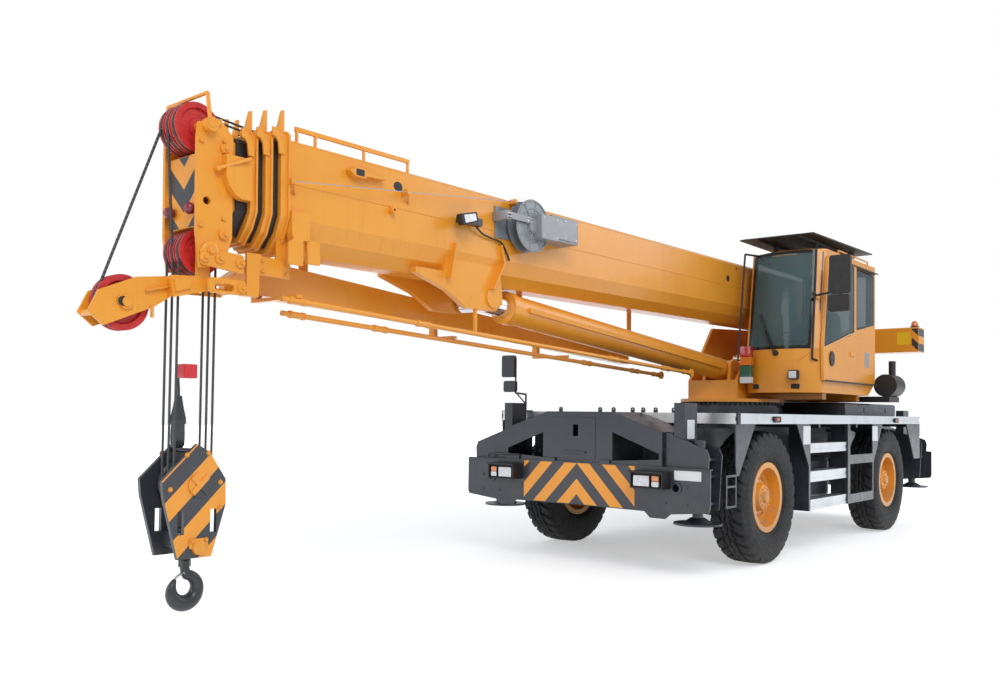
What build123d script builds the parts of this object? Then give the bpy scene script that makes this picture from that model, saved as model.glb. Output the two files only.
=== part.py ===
from build123d import *
import math
import os

# Rough-terrain mobile crane, travel-ready, in millimetres.
# The pieces are drawn in the carrier's frame: +X forward from the middle of the wheelbase,
# +Y to the left, +Z up from the ground. The export moves X by ORIGIN_X and Y by ORIGIN_Y, so
# that the stored part stands on the middle of its own outline.

# Fits
GAP = 0.3
RUN = 0.05
CLEAR = 10

# Running gear
TYRE_R = 685
TYRE_W = 385
BEAD_R = 322
RIM_FLANGE_R = BEAD_R + 40
RIM_HALF_W = 158
HUB_R = 150
SPINDLE_R = 70
HALF_TRACK = 1190
HALF_WHEELBASE = 1946
KINGPIN_Y = HALF_TRACK - 285
KINGPIN_R = 45
KNUCKLE_R = 105
AXLE_TUBE_R = 115
DIFF_R = 235

# Frame, deck and arches
RAIL_Y = 430
RAIL_T = 90
RAIL_LOW = 930
DECK_TOP = 1548
DECK_T = 30
DECK_LOW = DECK_TOP - DECK_T
DECK_HALF = 1445
DECK_FRONT = 2900
DECK_REAR = -3100
EDGE_H = 103
EDGE_T = 20
ARCH_TOP_HALF = 520
ARCH_LOW_HALF = 880
ARCH_LOW_Z = 950
SKIRT_T = 15
SKIRT_LOW = 486
BAY_FRONT = HALF_WHEELBASE - ARCH_LOW_HALF
BAY_POST = -135
STEP_DEPTH = 175
TANK_OUT = DECK_HALF - 255
HOOD_TOP = DECK_TOP + 170
HOOD_FRONT = -960

# Outriggers and bumpers
BUMPER_FACE = 3457
BUMPER_T = 20
BUMPER_HALF = DECK_HALF + 18
BUMPER_TOP = 1045
BUMPER_LOW = 615
BOX_FACE = 3430
BOX_REAR = 2905
BOX_END = DECK_HALF - 490
REAR_REACH = 200
BOX_LOW = 640
BOX_TOP = DECK_TOP
BOX_SLOPE = 0.335
BOX_FLAT = 400
PLATE_T = 15
CHEEK_HALF = 138
BEAM_W = 150
BEAM_H = 280
BEAM_LOW = 690
BEAM_WALL = 12
JACK_Y = DECK_HALF - 210
JACK_R = 68
JACK_ROD_R = 50
JACK_TOP = 1290
POST_TOP = 1638
JACK_BOX_END = DECK_HALF - 30
PAD_R = 225
PAD_LOW = 505
PAD_T = 45
BEAM_STROKE = 1750

# Turning upper works
RING_R = 640
RING_TOP = 1700
TURRET_FLOOR = RING_TOP + 40
TURRET_FLOOR_T = 70
TURRET_PLATE_Y = 300
TURRET_PLATE_T = 35
FOOT_FACE = 540
FOOT_TOP = 1970
PIVOT_X = -2200
PIVOT_Z = 3050
PIVOT_R = 60
WEIGHT_REAR = -3330
WEIGHT_FRONT = -2990
WEIGHT_LOW = 2490
WEIGHT_TOP = 2850
WEIGHT_HALF = 1462

# Cab
CAB_REAR = -1580
CAB_IN = 370
CAB_OUT = 1300
CAB_MIDDLE = (CAB_IN + CAB_OUT) / 2
CAB_FLOOR = TURRET_FLOOR + 72
CAB_FLOOR_T = 45
CAB_SILL = CAB_FLOOR + 518
CAB_ROOF = 3560
CAB_EAVES = CAB_ROOF - 50
CAB_WALL = 40
CAB_BULGE = 140
DOOR_T = 32
DOOR_REAR = -745
RAIL_LOW_Z = CAB_FLOOR + 138
RAIL_HIGH_Z = CAB_EAVES - 76
SHADE_Z = CAB_ROOF + 120
MIRROR_OUT = 1688

# Boom, drawn along its own axis from the foot pin
BOOM_DROP = 0.66
BOOM_HALF_W = 250
BOOM_TOP = 419
BOOM_BOTTOM = -335
BOOM_BEND = -121
BOOM_WALL = 10
SECTION_STEP = 25
PAD_LEN = 120
COLLAR_RISE = 40
FIN_RISE = 199
HEAD_REAR = 9826
HEAD_FACE = 10072
HEAD_PLATE_T = 28
FALL_PITCH = 70
ROPE_R = 8
LOWER_SHEAVE_S = 9988
LOWER_SHEAVE_H = -415
SHEAVE_R = 145
HEAD_SHAFT_R = 30
BLOCK_SHAFT_R = 35
UPPER_SHEAVE_S = 10012
UPPER_SHEAVE_H = 382
UPPER_SHEAVE_R = 162
NOSE_SHEAVE_S = 10465
NOSE_SHEAVE_H = -773
NOSE_SHEAVE_R = 170
NOSE_HALF = 150
NOSE_PLATE_T = 25
NOSE_FRONT_T = 18
NOSE_TIP_S = 10695
NOSE_TIP_HALF = 72

# Lift cylinder
LIFT_BASE_X = 280
LIFT_BASE_Z = 2110
LIFT_EYE_S = 7225
LIFT_EYE_H = -455
BARREL_R = 138
LIFT_ROD_R = 95
LIFT_PIN_R = 50
BARREL_SHORT = 380
EYE_HALF = 140

# Hook block, hanging under the lower head sheaves
BLOCK_TOP = 1300
BLOCK_PIN_Z = 1042
BLOCK_LOW = 585
BLOCK_HALF_T = 150
BLOCK_PLATE_T = 30
HOOK_LOW = 226
HOOK_PATH_R = 90
HOOK_R = 48
HOOK_TURN = 28

BOOM_LOC = Pos(PIVOT_X, 0, PIVOT_Z) * Rot(0, BOOM_DROP, 0)


def boom_point(s, h):
    """The carrier-frame X and Z of a place on the boom."""
    a = math.radians(BOOM_DROP)
    return (PIVOT_X + s * math.cos(a) + h * math.sin(a),
            PIVOT_Z - s * math.sin(a) + h * math.cos(a))


EYE_X, EYE_Z = boom_point(LIFT_EYE_S, LIFT_EYE_H)
LIFT_LEN = math.hypot(EYE_X - LIFT_BASE_X, EYE_Z - LIFT_BASE_Z)
LIFT_RISE = math.degrees(math.atan2(EYE_Z - LIFT_BASE_Z, EYE_X - LIFT_BASE_X))
LIFT_LOC = Pos(LIFT_BASE_X, 0, LIFT_BASE_Z) * Rot(0, -LIFT_RISE, 0)
FALL_X, FALL_Z = boom_point(LOWER_SHEAVE_S, LOWER_SHEAVE_H)
ORIGIN_X = (boom_point(NOSE_TIP_S, NOSE_SHEAVE_H)[0] - BUMPER_FACE - REAR_REACH) / 2
ORIGIN_Y = (MIRROR_OUT - BUMPER_HALF) / 2


# Plain solids
def block(x, y, z):
    """A box from three (low, high) pairs."""
    return Pos((x[0] + x[1]) / 2, (y[0] + y[1]) / 2, (z[0] + z[1]) / 2) * Box(
        x[1] - x[0], y[1] - y[0], z[1] - z[0])


def side_plate(outline, y_low, y_high):
    """An outline in X and Z, made thick along Y."""
    face = make_face(Polyline(*outline, close=True))
    return extrude(Plane((0, y_high, 0), x_dir=(1, 0, 0), z_dir=(0, -1, 0)) * face,
                   amount=y_high - y_low)


def cross_plate(outline, x_low, x_high):
    """An outline in Y and Z, made thick along X."""
    face = make_face(Polyline(*outline, close=True))
    return extrude(Plane((x_low, 0, 0), x_dir=(0, 1, 0), z_dir=(1, 0, 0)) * face,
                   amount=x_high - x_low)


def flat_plate(outline, z_low, z_high):
    """An outline in X and Y, made thick along Z."""
    face = make_face(Polyline(*outline, close=True))
    return extrude(Pos(0, 0, z_low) * face, amount=z_high - z_low)


def across(x, z, radius, y_low, y_high):
    """A round bar along Y."""
    return Pos(x, (y_low + y_high) / 2, z) * Rot(90, 0, 0) * Cylinder(radius, y_high - y_low)


def upright(x, y, radius, z_low, z_high):
    """A round bar along Z."""
    return Pos(x, y, (z_low + z_high) / 2) * Cylinder(radius, z_high - z_low)


def along(y, z, radius, x_low, x_high):
    """A round bar along X."""
    return Pos((x_low + x_high) / 2, y, z) * Rot(0, 90, 0) * Cylinder(radius, x_high - x_low)


def strut(a, b, radius):
    """A round bar from one point to another."""
    start, end = Vector(*a), Vector(*b)
    plane = Plane(start, z_dir=end - start)
    return extrude(plane * Circle(radius), amount=(end - start).length)


def both_sides(solid):
    """A piece and its mirror image on the other side."""
    return solid + mirror(solid, about=Plane.XZ)


def joined(solids):
    """Several pieces as one shape."""
    whole = None
    for solid in solids:
        whole = solid if whole is None else whole + solid
    return whole


def spun(outline, x, y, z):
    """An outline of (distance along Y, radius) turned about an axle at x, z."""
    face = make_face(Polyline(*[(r, d) for d, r in outline], close=True))
    return Pos(x, y, z) * revolve(face, axis=Axis.Y)


def sheave(x, y, z, radius, width, shaft):
    """A grooved rope wheel on a shaft along Y."""
    groove = width * 0.32
    bore = shaft + GAP
    web = width * 0.22
    outline = [(-width / 2, bore), (-width / 2, shaft * 1.9), (-web, shaft * 2.1), (-web, radius * 0.72),
               (-width / 2, radius * 0.78), (-width / 2, radius), (-groove, radius),
               (0, radius - width * 0.45), (groove, radius), (width / 2, radius),
               (width / 2, radius * 0.78), (web, radius * 0.72), (web, shaft * 2.1),
               (width / 2, shaft * 1.9), (width / 2, bore)]
    return spun(outline, x, y, z)


# Running gear
def axle(x):
    inner = KINGPIN_Y - KNUCKLE_R - CLEAR
    tube = across(x, TYRE_R, AXLE_TUBE_R, -inner, inner)
    housing = Pos(x, 0, TYRE_R) * Sphere(DIFF_R)
    nose = along(0, TYRE_R, DIFF_R * 0.4, min(x, x * 0.86), max(x, x * 0.86))
    seat_half = AXLE_TUBE_R - 5
    seats = both_sides(block((x - seat_half, x + seat_half), (RAIL_Y - RAIL_T, RAIL_Y),
                             (TYRE_R, RAIL_LOW - GAP)))
    fork_low = TYRE_R - KNUCKLE_R - 45
    fork_high = TYRE_R + KNUCKLE_R + 45
    web = block((x - 75, x + 75), (inner - 70, inner), (fork_low, fork_high))
    for z_low in (fork_low, fork_high - 40):
        web += block((x - 75, x + 75), (inner - 70, KINGPIN_Y), (z_low, z_low + 40))
        web += upright(x, KINGPIN_Y, 75, z_low, z_low + 40)
    pin = upright(x, KINGPIN_Y, KINGPIN_R, fork_low, fork_high)
    return tube + housing + nose + seats + both_sides(web + pin)


def knuckle(x, side):
    half = KNUCKLE_R + 45 - 40 - GAP
    body = upright(x, KINGPIN_Y, 80, TYRE_R - half, TYRE_R + half)
    body += across(x, TYRE_R, KNUCKLE_R, KINGPIN_Y, HALF_TRACK - 95)
    body += across(x, TYRE_R, SPINDLE_R, HALF_TRACK - 96, HALF_TRACK + 40)
    body -= upright(x, KINGPIN_Y, KINGPIN_R + RUN, TYRE_R - half - 1, TYRE_R + half + 1)
    return body if side > 0 else mirror(body, about=Plane.XZ)


def tyre(x, side):
    w = TYRE_W / 2
    crown = [(-w + 42, TYRE_R - 14), (-w + 75, TYRE_R), (w - 75, TYRE_R), (w - 42, TYRE_R - 14)]
    wall_out = [(w - 12, TYRE_R - 75), (w, TYRE_R - 150), (w - 8, BEAD_R + 110),
                (RIM_HALF_W - 22, BEAD_R + 42)]
    seat = [(RIM_HALF_W - 22, BEAD_R), (-RIM_HALF_W + 22, BEAD_R)]
    wall_in = [(-d, r) for d, r in reversed(wall_out)]
    return spun(crown + wall_out + seat + wall_in, x, side * HALF_TRACK, TYRE_R)


def rim(x, side):
    barrel_in = BEAD_R - 16
    w = RIM_HALF_W
    outline = [(-w, barrel_in), (-w, RIM_FLANGE_R), (-w + 21, RIM_FLANGE_R), (-w + 21, BEAD_R - GAP),
               (w - 21, BEAD_R - GAP), (w - 21, RIM_FLANGE_R), (w, RIM_FLANGE_R), (w, barrel_in),
               (40, barrel_in - 12), (20, HUB_R + 60), (60, HUB_R + 30), (60, HUB_R), (118, HUB_R - 22),
               (128, HUB_R - 45), (128, 0), (41, 0), (41, SPINDLE_R + GAP), (-95 + GAP, SPINDLE_R + GAP),
               (-95 + GAP, HUB_R), (-10, HUB_R + 30), (10, barrel_in - 20), (-30, barrel_in)]
    body = spun(outline, 0, 0, 0)
    if side < 0:
        body = mirror(body, about=Plane.XZ)
    return Pos(x, side * HALF_TRACK, TYRE_R) * body


# Frame and deck
def chassis_frame():
    rear, front = GAP - BOX_REAR - REAR_REACH, BOX_REAR - GAP
    frame = both_sides(block((rear, front), (RAIL_Y - RAIL_T, RAIL_Y), (RAIL_LOW, DECK_LOW)))
    for x in (rear + 60, -1200, -RING_R + 20, RING_R - 20, 1200, front - 60):
        frame += block((x - 40, x + 40), (-RAIL_Y, RAIL_Y), (RAIL_LOW + 60, DECK_LOW))
    frame += block((-RING_R, RING_R), (-RAIL_Y, RAIL_Y), (DECK_LOW - 40, DECK_LOW))
    for x in (DECK_REAR + 320, -RING_R + 20, RING_R - 20, DECK_FRONT - 120):
        frame += both_sides(block((x - 25, x + 25), (RAIL_Y - 1, DECK_HALF - EDGE_T - 40),
                                  (DECK_TOP - EDGE_H - 45, DECK_LOW)))
    return frame


# Places of the small eyes along the deck's front edge, in Y
DECK_EYES = (-649, -132, 38, 272, 398, 544, 752)


def deck_eye(y):
    x = DECK_FRONT - 50
    eye = block((x - 9, x + 9), (y - 20, y + 20), (DECK_TOP - 1, DECK_TOP + 32))
    eye += along(y, DECK_TOP + 32, 20, x - 9, x + 9)
    return eye - along(y, DECK_TOP + 32, 9, x - 10, x + 10)


def deck_mirror():
    """The two wide-angle mirrors on a cranked stalk at the right front corner."""
    x, y = DECK_FRONT + 35, -DECK_HALF + 368
    low = DECK_TOP + 194
    foot = block((DECK_FRONT - 60, DECK_FRONT - 22), (y - 30, y + 30), (DECK_TOP - 1, DECK_TOP + 12))
    foot += block((DECK_FRONT - 23, x + 12), (y - 30, y + 30), (DECK_TOP + GAP, DECK_TOP + 12))
    stalk = upright(x, y, 11, DECK_TOP, low) + strut((x, y, low - 3), (x, y - 150, low + 12), 11)
    stalk += strut((x, y, DECK_TOP + 80), (x, y - 135, low + 8), 8)
    post = upright(x, y - 150, 10, low + 5, low + 400)
    lower = block((x + 2, x + 50), (y - 289, y - 123), (low + 22, low + 150))
    upper = block((x + 2, x + 50), (y - 318, y - 140), (low + 191, low + 440))
    heads = fillet((lower + upper).edges().filter_by(Axis.X), 25)
    return foot + stalk + post + heads


def deck():
    y = DECK_HALF - EDGE_T
    plate = block((DECK_REAR + EDGE_T, DECK_FRONT - EDGE_T), (-y, y), (DECK_LOW, DECK_TOP))
    plate -= upright(0, 0, RING_R - 120, DECK_LOW - 1, DECK_TOP + 1)
    return plate + joined(deck_eye(y) for y in DECK_EYES) + deck_mirror()


def deck_edging():
    low = DECK_TOP - EDGE_H
    outer = block((DECK_REAR, DECK_FRONT), (-DECK_HALF, DECK_HALF), (low, DECK_TOP))
    inner = block((DECK_REAR + EDGE_T, DECK_FRONT - EDGE_T), (-DECK_HALF + EDGE_T, DECK_HALF - EDGE_T),
                  (low - 1, DECK_TOP + 1))
    notch = block((DECK_REAR - 1, DECK_FRONT + 1), (-RAIL_Y - GAP, RAIL_Y + GAP), (low - 1, DECK_LOW))
    groove = block((DECK_REAR + 6, DECK_FRONT - 6), (-DECK_HALF + 6, DECK_HALF - 6), (low, DECK_TOP))
    band = (low + EDGE_H * 0.3, low + EDGE_H * 0.7)
    slot = block((DECK_REAR - 1, DECK_FRONT + 1), (-DECK_HALF - 1, DECK_HALF + 1), band) - groove
    return outer - inner - notch - slot


def skirt():
    """Arch plates and the step bay frame under one edge of the deck."""
    top = DECK_TOP - EDGE_H - GAP
    y0, y1 = DECK_HALF - SKIRT_T, DECK_HALF
    wb = HALF_WHEELBASE
    bay = BAY_FRONT
    front = [(wb + ARCH_TOP_HALF, top), (DECK_FRONT, top), (DECK_FRONT, 1050),
             (DECK_FRONT - 20, ARCH_LOW_Z), (wb + ARCH_LOW_HALF, ARCH_LOW_Z)]
    mid = [(wb - ARCH_TOP_HALF, top), (bay, ARCH_LOW_Z), (bay, SKIRT_LOW), (bay - 20, SKIRT_LOW),
           (bay - 20, top)]
    rear_mid = [(-wb + ARCH_TOP_HALF, top), (-bay, ARCH_LOW_Z), (-bay, SKIRT_LOW),
                (-bay + 36, SKIRT_LOW), (-bay + 36, top)]
    rear = [(-wb - ARCH_TOP_HALF, top), (-wb - ARCH_LOW_HALF, ARCH_LOW_Z), (DECK_REAR, ARCH_LOW_Z),
            (DECK_REAR, top)]
    body = joined(side_plate(outline, y0, y1) for outline in (front, mid, rear_mid, rear))
    body += block((BAY_POST - 80, BAY_POST), (y0 - 25, y1), (SKIRT_LOW, top))
    for z in (SKIRT_LOW, 960):
        body += block((-bay + 26, BAY_POST - 65), (y0, y1), (z, z + 110))
    depth = y0 - STEP_DEPTH - 40
    body += block((bay, bay + 24), (depth, y1), (SKIRT_LOW, top))
    body += block((BAY_POST - 80, BAY_POST - 56), (depth, y1), (SKIRT_LOW, top))
    return body


def lane_guard():
    """Bars between the left front arch and the jack housing."""
    y0, y1 = DECK_HALF - SKIRT_T, DECK_HALF
    lane = BOX_REAR + 190
    body = block((lane - 20, lane), (y0, y1), (655, 965))
    for z, rear in ((655, DECK_FRONT), (845, DECK_FRONT), (945, DECK_FRONT - 20)):
        body += block((rear, lane), (y0, y1), (z, z + 20))
    return body + block((DECK_FRONT - 20, DECK_FRONT), (y0, y1), (655, ARCH_LOW_Z + 1))


def steps():
    out = DECK_HALF - SKIRT_T - GAP
    treads = []
    for z_low, z_high in ((488, 605), (800, 918), (1123, 1230)):
        tread = block((BAY_POST + GAP, BAY_FRONT - GAP), (out - STEP_DEPTH, out), (z_low, z_high))
        tread -= block((BAY_POST - 1, BAY_FRONT + 1), (out - STEP_DEPTH - 10, out - 12),
                       (z_low - 1, z_high - 12))
        rib_low, rib_high = z_low + 38, z_high - 38
        tread -= block((BAY_POST - 1, BAY_FRONT + 1), (out - 4, out + 1), (rib_low, rib_high))
        treads.append(tread)
    return joined(treads)


def side_tank():
    low, high = 560, 1050
    tank = block((BAY_POST - 45 + GAP, BAY_FRONT - 16), (RAIL_Y + GAP, TANK_OUT), (low, high))
    tank = fillet(tank.edges().filter_by(Axis.X), 60)
    x, y = 420, TANK_OUT - 150
    tank += upright(x, y, 75, high - 1, high + 200)
    return tank + upright(x, y, 105, high + 200, high + 235)


def engine_hood():
    half = DECK_HALF - 325
    hood = block((DECK_REAR + 60, HOOD_FRONT), (-half, half), (DECK_TOP, HOOD_TOP))
    hood = chamfer(hood.edges().group_by(Axis.Z)[-1], 18)
    for x in (DECK_REAR + 500, DECK_REAR + 1400):
        vent = block((x, x + 420), (half - 6, half + 1), (DECK_TOP + 45, DECK_TOP + 120))
        hood -= both_sides(vent)
    return hood


def engine():
    return block((-2850, -1950), (-RAIL_Y + RAIL_T + GAP, RAIL_Y - RAIL_T - GAP), (960, DECK_LOW - 18))


def slew_ring():
    ring = upright(0, 0, RING_R, DECK_TOP, RING_TOP - 70) + upright(0, 0, RING_R - 30, DECK_TOP, RING_TOP)
    return ring - upright(0, 0, RING_R - 130, DECK_TOP - 1, RING_TOP + 1)


# Outriggers
def box_slope(y):
    """Height of the outrigger box's top skin at a distance from the middle."""
    return BOX_TOP - BOX_SLOPE * (abs(y) - BOX_FLAT)


def beam_x(lead):
    """Middle of the beam lane: the left beam runs in front, the right one behind."""
    return (BOX_FACE + BOX_REAR) / 2 + lead * (BEAM_W + PLATE_T) / 2


def outrigger_box():
    outline = [(-BOX_END, BOX_LOW), (BOX_END, BOX_LOW), (BOX_END, box_slope(BOX_END)), (BOX_FLAT, BOX_TOP),
               (-BOX_FLAT, BOX_TOP), (-BOX_END, box_slope(BOX_END))]
    window = [(BOX_FLAT, 1070), (BOX_FLAT, 1350), (BOX_END - 35, 1155), (BOX_END - 35, 1100)]
    low, high = BEAM_LOW - GAP, BEAM_LOW + BEAM_H + CLEAR
    body = cross_plate(outline, BOX_REAR, BOX_FACE)
    for lead in (-1, 1):
        half = (BEAM_W + CLEAR) / 2
        body -= block((beam_x(lead) - half, beam_x(lead) + half), (-BOX_END - 1, BOX_END + 1), (low, high))
    hollow = [(-BOX_END - 1, high + 30), (BOX_END + 1, high + 30), (BOX_END + 1, box_slope(BOX_END) - 25),
              (BOX_FLAT, BOX_TOP - 25), (-BOX_FLAT, BOX_TOP - 25), (-BOX_END - 1, box_slope(BOX_END) - 25)]
    lanes = (BOX_REAR + PLATE_T, BOX_FACE - PLATE_T)
    body -= cross_plate(hollow, *lanes)
    body -= both_sides(cross_plate(window, BOX_REAR - 1, BOX_FACE + 1))
    body += both_sides(block(lanes, (BOX_FLAT - 60, BOX_FLAT - 30), (high + 29, BOX_TOP - 24)))
    cover = block((BOX_FACE - 1, BOX_FACE + 6), (-445, 201), (BUMPER_TOP + 30, BOX_TOP - 60))
    cover += block((BOX_FACE + 5, BOX_FACE + 26), (-180, 90), (1130, 1148))
    return body + cover - block((BOX_FACE - 30, BOX_FACE + 7), (-70, -5), (1300, 1416))


def outrigger_beam(side, end_face):
    """A sliding beam, and the box at its end that holds the jack."""
    x, half = beam_x(side), BEAM_W / 2
    shell_y = BOX_END + CLEAR
    beam = block((x - half, x + half), (-BOX_END + 60, shell_y), (BEAM_LOW, BEAM_LOW + BEAM_H))
    beam -= block((x - half + BEAM_WALL, x + half - BEAM_WALL), (-BOX_END, shell_y + 1),
                  (BEAM_LOW + BEAM_WALL, BEAM_LOW + BEAM_H - BEAM_WALL))
    post_y = JACK_Y - JACK_R - 10
    cheek = [(shell_y + GAP, BOX_LOW), (JACK_BOX_END - 30, BOX_LOW),
             (JACK_BOX_END, box_slope(JACK_BOX_END) - 60), (JACK_BOX_END - 25, box_slope(JACK_BOX_END)),
             (shell_y + GAP, box_slope(shell_y))]
    face, back = end_face, x - CHEEK_HALF
    shell = joined(cross_plate(cheek, x_low, x_low + PLATE_T) for x_low in (back, face - PLATE_T))
    for z_low in (BEAM_LOW, BEAM_LOW + BEAM_H - 25, 1100):
        shell += block((back + 1, face - 1), (shell_y + GAP, JACK_BOX_END - 60), (z_low, z_low + 25))
    shell += block((x - CHEEK_HALF + 15, x + CHEEK_HALF - 15), (post_y - 110, post_y), (BEAM_LOW, POST_TOP))
    shell += upright(x, JACK_Y, JACK_R, BEAM_LOW - 60, JACK_TOP)
    shell -= upright(x, JACK_Y, JACK_ROD_R + GAP, BEAM_LOW - 61, JACK_TOP - 30)
    return beam + shell if side > 0 else mirror(beam + shell, about=Plane.XZ)


def jack(side):
    x = beam_x(side)
    body = upright(x, JACK_Y, JACK_ROD_R, PAD_LOW + 20, JACK_TOP - 40)
    body += upright(x, JACK_Y, PAD_R, PAD_LOW, PAD_LOW + 18)
    body += Pos(x, JACK_Y, PAD_LOW + 18 + PAD_T / 2) * Cone(PAD_R - 90, JACK_ROD_R + 20, PAD_T)
    return body if side > 0 else mirror(body, about=Plane.XZ)


def at_rear(solid):
    """The rear set mirrors the front one, a little further out."""
    return Pos(-REAR_REACH, 0, 0) * mirror(solid, about=Plane.YZ)


# Left half of the bumper's outline, in Y and Z
BUMPER_HALF_OUTLINE = ((0, BUMPER_LOW), (783, BUMPER_LOW - 5), (844, BUMPER_LOW - 62),
                       (1002, BUMPER_LOW - 62), (1060, BUMPER_LOW - 15), (BUMPER_HALF - 18, BUMPER_LOW + 23),
                       (BUMPER_HALF, BUMPER_LOW + 60), (BUMPER_HALF, BUMPER_TOP - 10), (0, BUMPER_TOP))
LAMP_Y = 882
TOW_Y, TOW_Z = 1120, 847


def bumper():
    rear = BUMPER_FACE - BUMPER_T
    right = [(-y, z) for y, z in reversed(BUMPER_HALF_OUTLINE[1:-1])]
    body = cross_plate([*BUMPER_HALF_OUTLINE, *right], rear, BUMPER_FACE)
    lip = (BUMPER_TOP - 22, BUMPER_TOP - 10)
    end = block((rear - 34, rear + 1), (BOX_END + CLEAR, BUMPER_HALF), lip)
    stay = block((BOX_FACE + GAP, rear + 1), (700, 900), (700, 900))
    ring = along(TOW_Y, TOW_Z, 58, BUMPER_FACE - 1, BUMPER_FACE + 12)
    eye = along(TOW_Y, TOW_Z, 36, rear - 1, BUMPER_FACE + 13)
    bead = block((BUMPER_FACE - 1, BUMPER_FACE + 7), (690, BUMPER_HALF - 4), (lip[0] - 10, lip[0] + 2))
    return body + both_sides(end + stay + ring + bead) - both_sides(eye)


def bumper_brackets():
    """The lugs and the handle rod on the front bumper's top edge."""
    lugs = joined(block((BUMPER_FACE - 20, BUMPER_FACE), span, (BUMPER_TOP - 8, BUMPER_TOP + 28))
                  for span in ((-483, -280), (264, 383)))
    rod = joined(block((BUMPER_FACE - 18, BUMPER_FACE - 2), (y, y + 16), (BUMPER_TOP - 12, BUMPER_TOP + 50))
                 for y in (-1190, -766))
    return lugs + rod + across(BUMPER_FACE - 10, BUMPER_TOP + 42, 9, -1190, -750)


def headlamps():
    """Hooded lamp housings that stand out from the bumper, with a wide and a narrow lens each."""
    x0, x1 = BUMPER_FACE + GAP, BUMPER_FACE + 140
    body = block((x0, x1), (LAMP_Y - 172, LAMP_Y + 173), (835, 985))
    body -= block((x1 - 34, x1 + 1), (LAMP_Y - 160, LAMP_Y + 161), (845, 974))
    body += block((x0, x1 + 24), (LAMP_Y - 178, LAMP_Y + 179), (984, 996))
    for low, high in ((LAMP_Y - 148, LAMP_Y + 38), (LAMP_Y + 50, LAMP_Y + 140)):
        body += block((x1 - 36, x1 - 14), (low, high), (848, 964))
        body += block((x1 - 15, x1 - 6), (low + 10, high - 10), (858, 954))
    return both_sides(body)


# Turning upper works
def turret_frame():
    """Floor, side plates and foot, as separate plates a weld gap apart."""
    inner, outer = TURRET_PLATE_Y, TURRET_PLATE_Y + TURRET_PLATE_T
    floor_top = TURRET_FLOOR + TURRET_FLOOR_T
    floor = upright(0, 0, RING_R + 10, RING_TOP + GAP, TURRET_FLOOR)
    floor += block((WEIGHT_FRONT + 40, FOOT_FACE - 30 - GAP), (-inner + GAP, inner - GAP),
                   (TURRET_FLOOR - 1, floor_top))
    outline = [(FOOT_FACE, TURRET_FLOOR + GAP), (FOOT_FACE, FOOT_TOP), (330, 2200), (-60, PIVOT_Z - 370),
               (-1500, PIVOT_Z - 290), (PIVOT_X + 220, PIVOT_Z + 180), (PIVOT_X - 120, PIVOT_Z + 210),
               (PIVOT_X - 360, PIVOT_Z + 30), (-2900, WEIGHT_TOP + 50), (WEIGHT_FRONT, WEIGHT_TOP + 10),
               (WEIGHT_FRONT, WEIGHT_LOW - 50), (WEIGHT_FRONT + 40, TURRET_FLOOR + GAP)]
    cheek = side_plate(outline, inner, outer)
    cheek -= side_plate([(-700, 1950), (-650, 2350), (-1200, 2450), (-1400, 1950)], inner - 1, outer + 1)
    cheek -= across(PIVOT_X, PIVOT_Z, PIVOT_R + RUN, inner - 1, outer + 1)
    shelf_low = FOOT_TOP - 60
    foot = block((FOOT_FACE - 30, FOOT_FACE), (-inner + GAP, inner - GAP), (TURRET_FLOOR + GAP, FOOT_TOP))
    foot += block((60, FOOT_FACE - 29), (-inner + GAP, inner - GAP), (shelf_low, shelf_low + 30))
    foot += block((60, 90), (-inner + GAP, inner - GAP), (floor_top + GAP, shelf_low + 1))
    lug_low = shelf_low + 30 + GAP
    lug = [(LIFT_BASE_X - 170, lug_low), (LIFT_BASE_X + 170, lug_low),
           (LIFT_BASE_X + 130, LIFT_BASE_Z + 90), (LIFT_BASE_X, LIFT_BASE_Z + 140),
           (LIFT_BASE_X - 130, LIFT_BASE_Z + 90)]
    lugs = both_sides(side_plate(lug, EYE_HALF + CLEAR, EYE_HALF + CLEAR + 40))
    lugs += across(LIFT_BASE_X, LIFT_BASE_Z, LIFT_PIN_R, -EYE_HALF - 55, EYE_HALF + 55)
    between = (-inner + GAP, inner - GAP)
    back = block((WEIGHT_FRONT + 2, WEIGHT_FRONT + 32), between, (WEIGHT_LOW - 40, WEIGHT_TOP))
    pin = across(PIVOT_X, PIVOT_Z, PIVOT_R, -outer - 15, outer + 15)
    reach, rise = (outer + GAP, CAB_OUT - 150), (TURRET_FLOOR + GAP, CAB_FLOOR - GAP)
    arms = joined(block((x - 60, x + 60), reach, rise) for x in (CAB_REAR + 230, CAB_REAR + 1430))
    return floor + both_sides(cheek) + foot + lugs + back + pin + arms


def winch(x, z):
    half = TURRET_PLATE_Y - 75
    drum = [(-half, 0), (-half, 235), (-half + 20, 235), (-half + 20, 165), (half - 20, 165),
            (half - 20, 235), (half, 235), (half, 0)]
    return spun(drum, x, 0, z) + across(x, z, 60, -TURRET_PLATE_Y + GAP, TURRET_PLATE_Y - GAP)


def counterweight():
    outline = [(WEIGHT_FRONT - GAP, -WEIGHT_HALF), (WEIGHT_FRONT - GAP, WEIGHT_HALF),
               (WEIGHT_REAR + 60, WEIGHT_HALF), (WEIGHT_REAR, WEIGHT_HALF - 120),
               (WEIGHT_REAR, -WEIGHT_HALF + 120), (WEIGHT_REAR + 60, -WEIGHT_HALF)]
    body = flat_plate(outline, WEIGHT_LOW, WEIGHT_TOP)
    return chamfer(body.edges().group_by(Axis.Z)[-1], 15)


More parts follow.
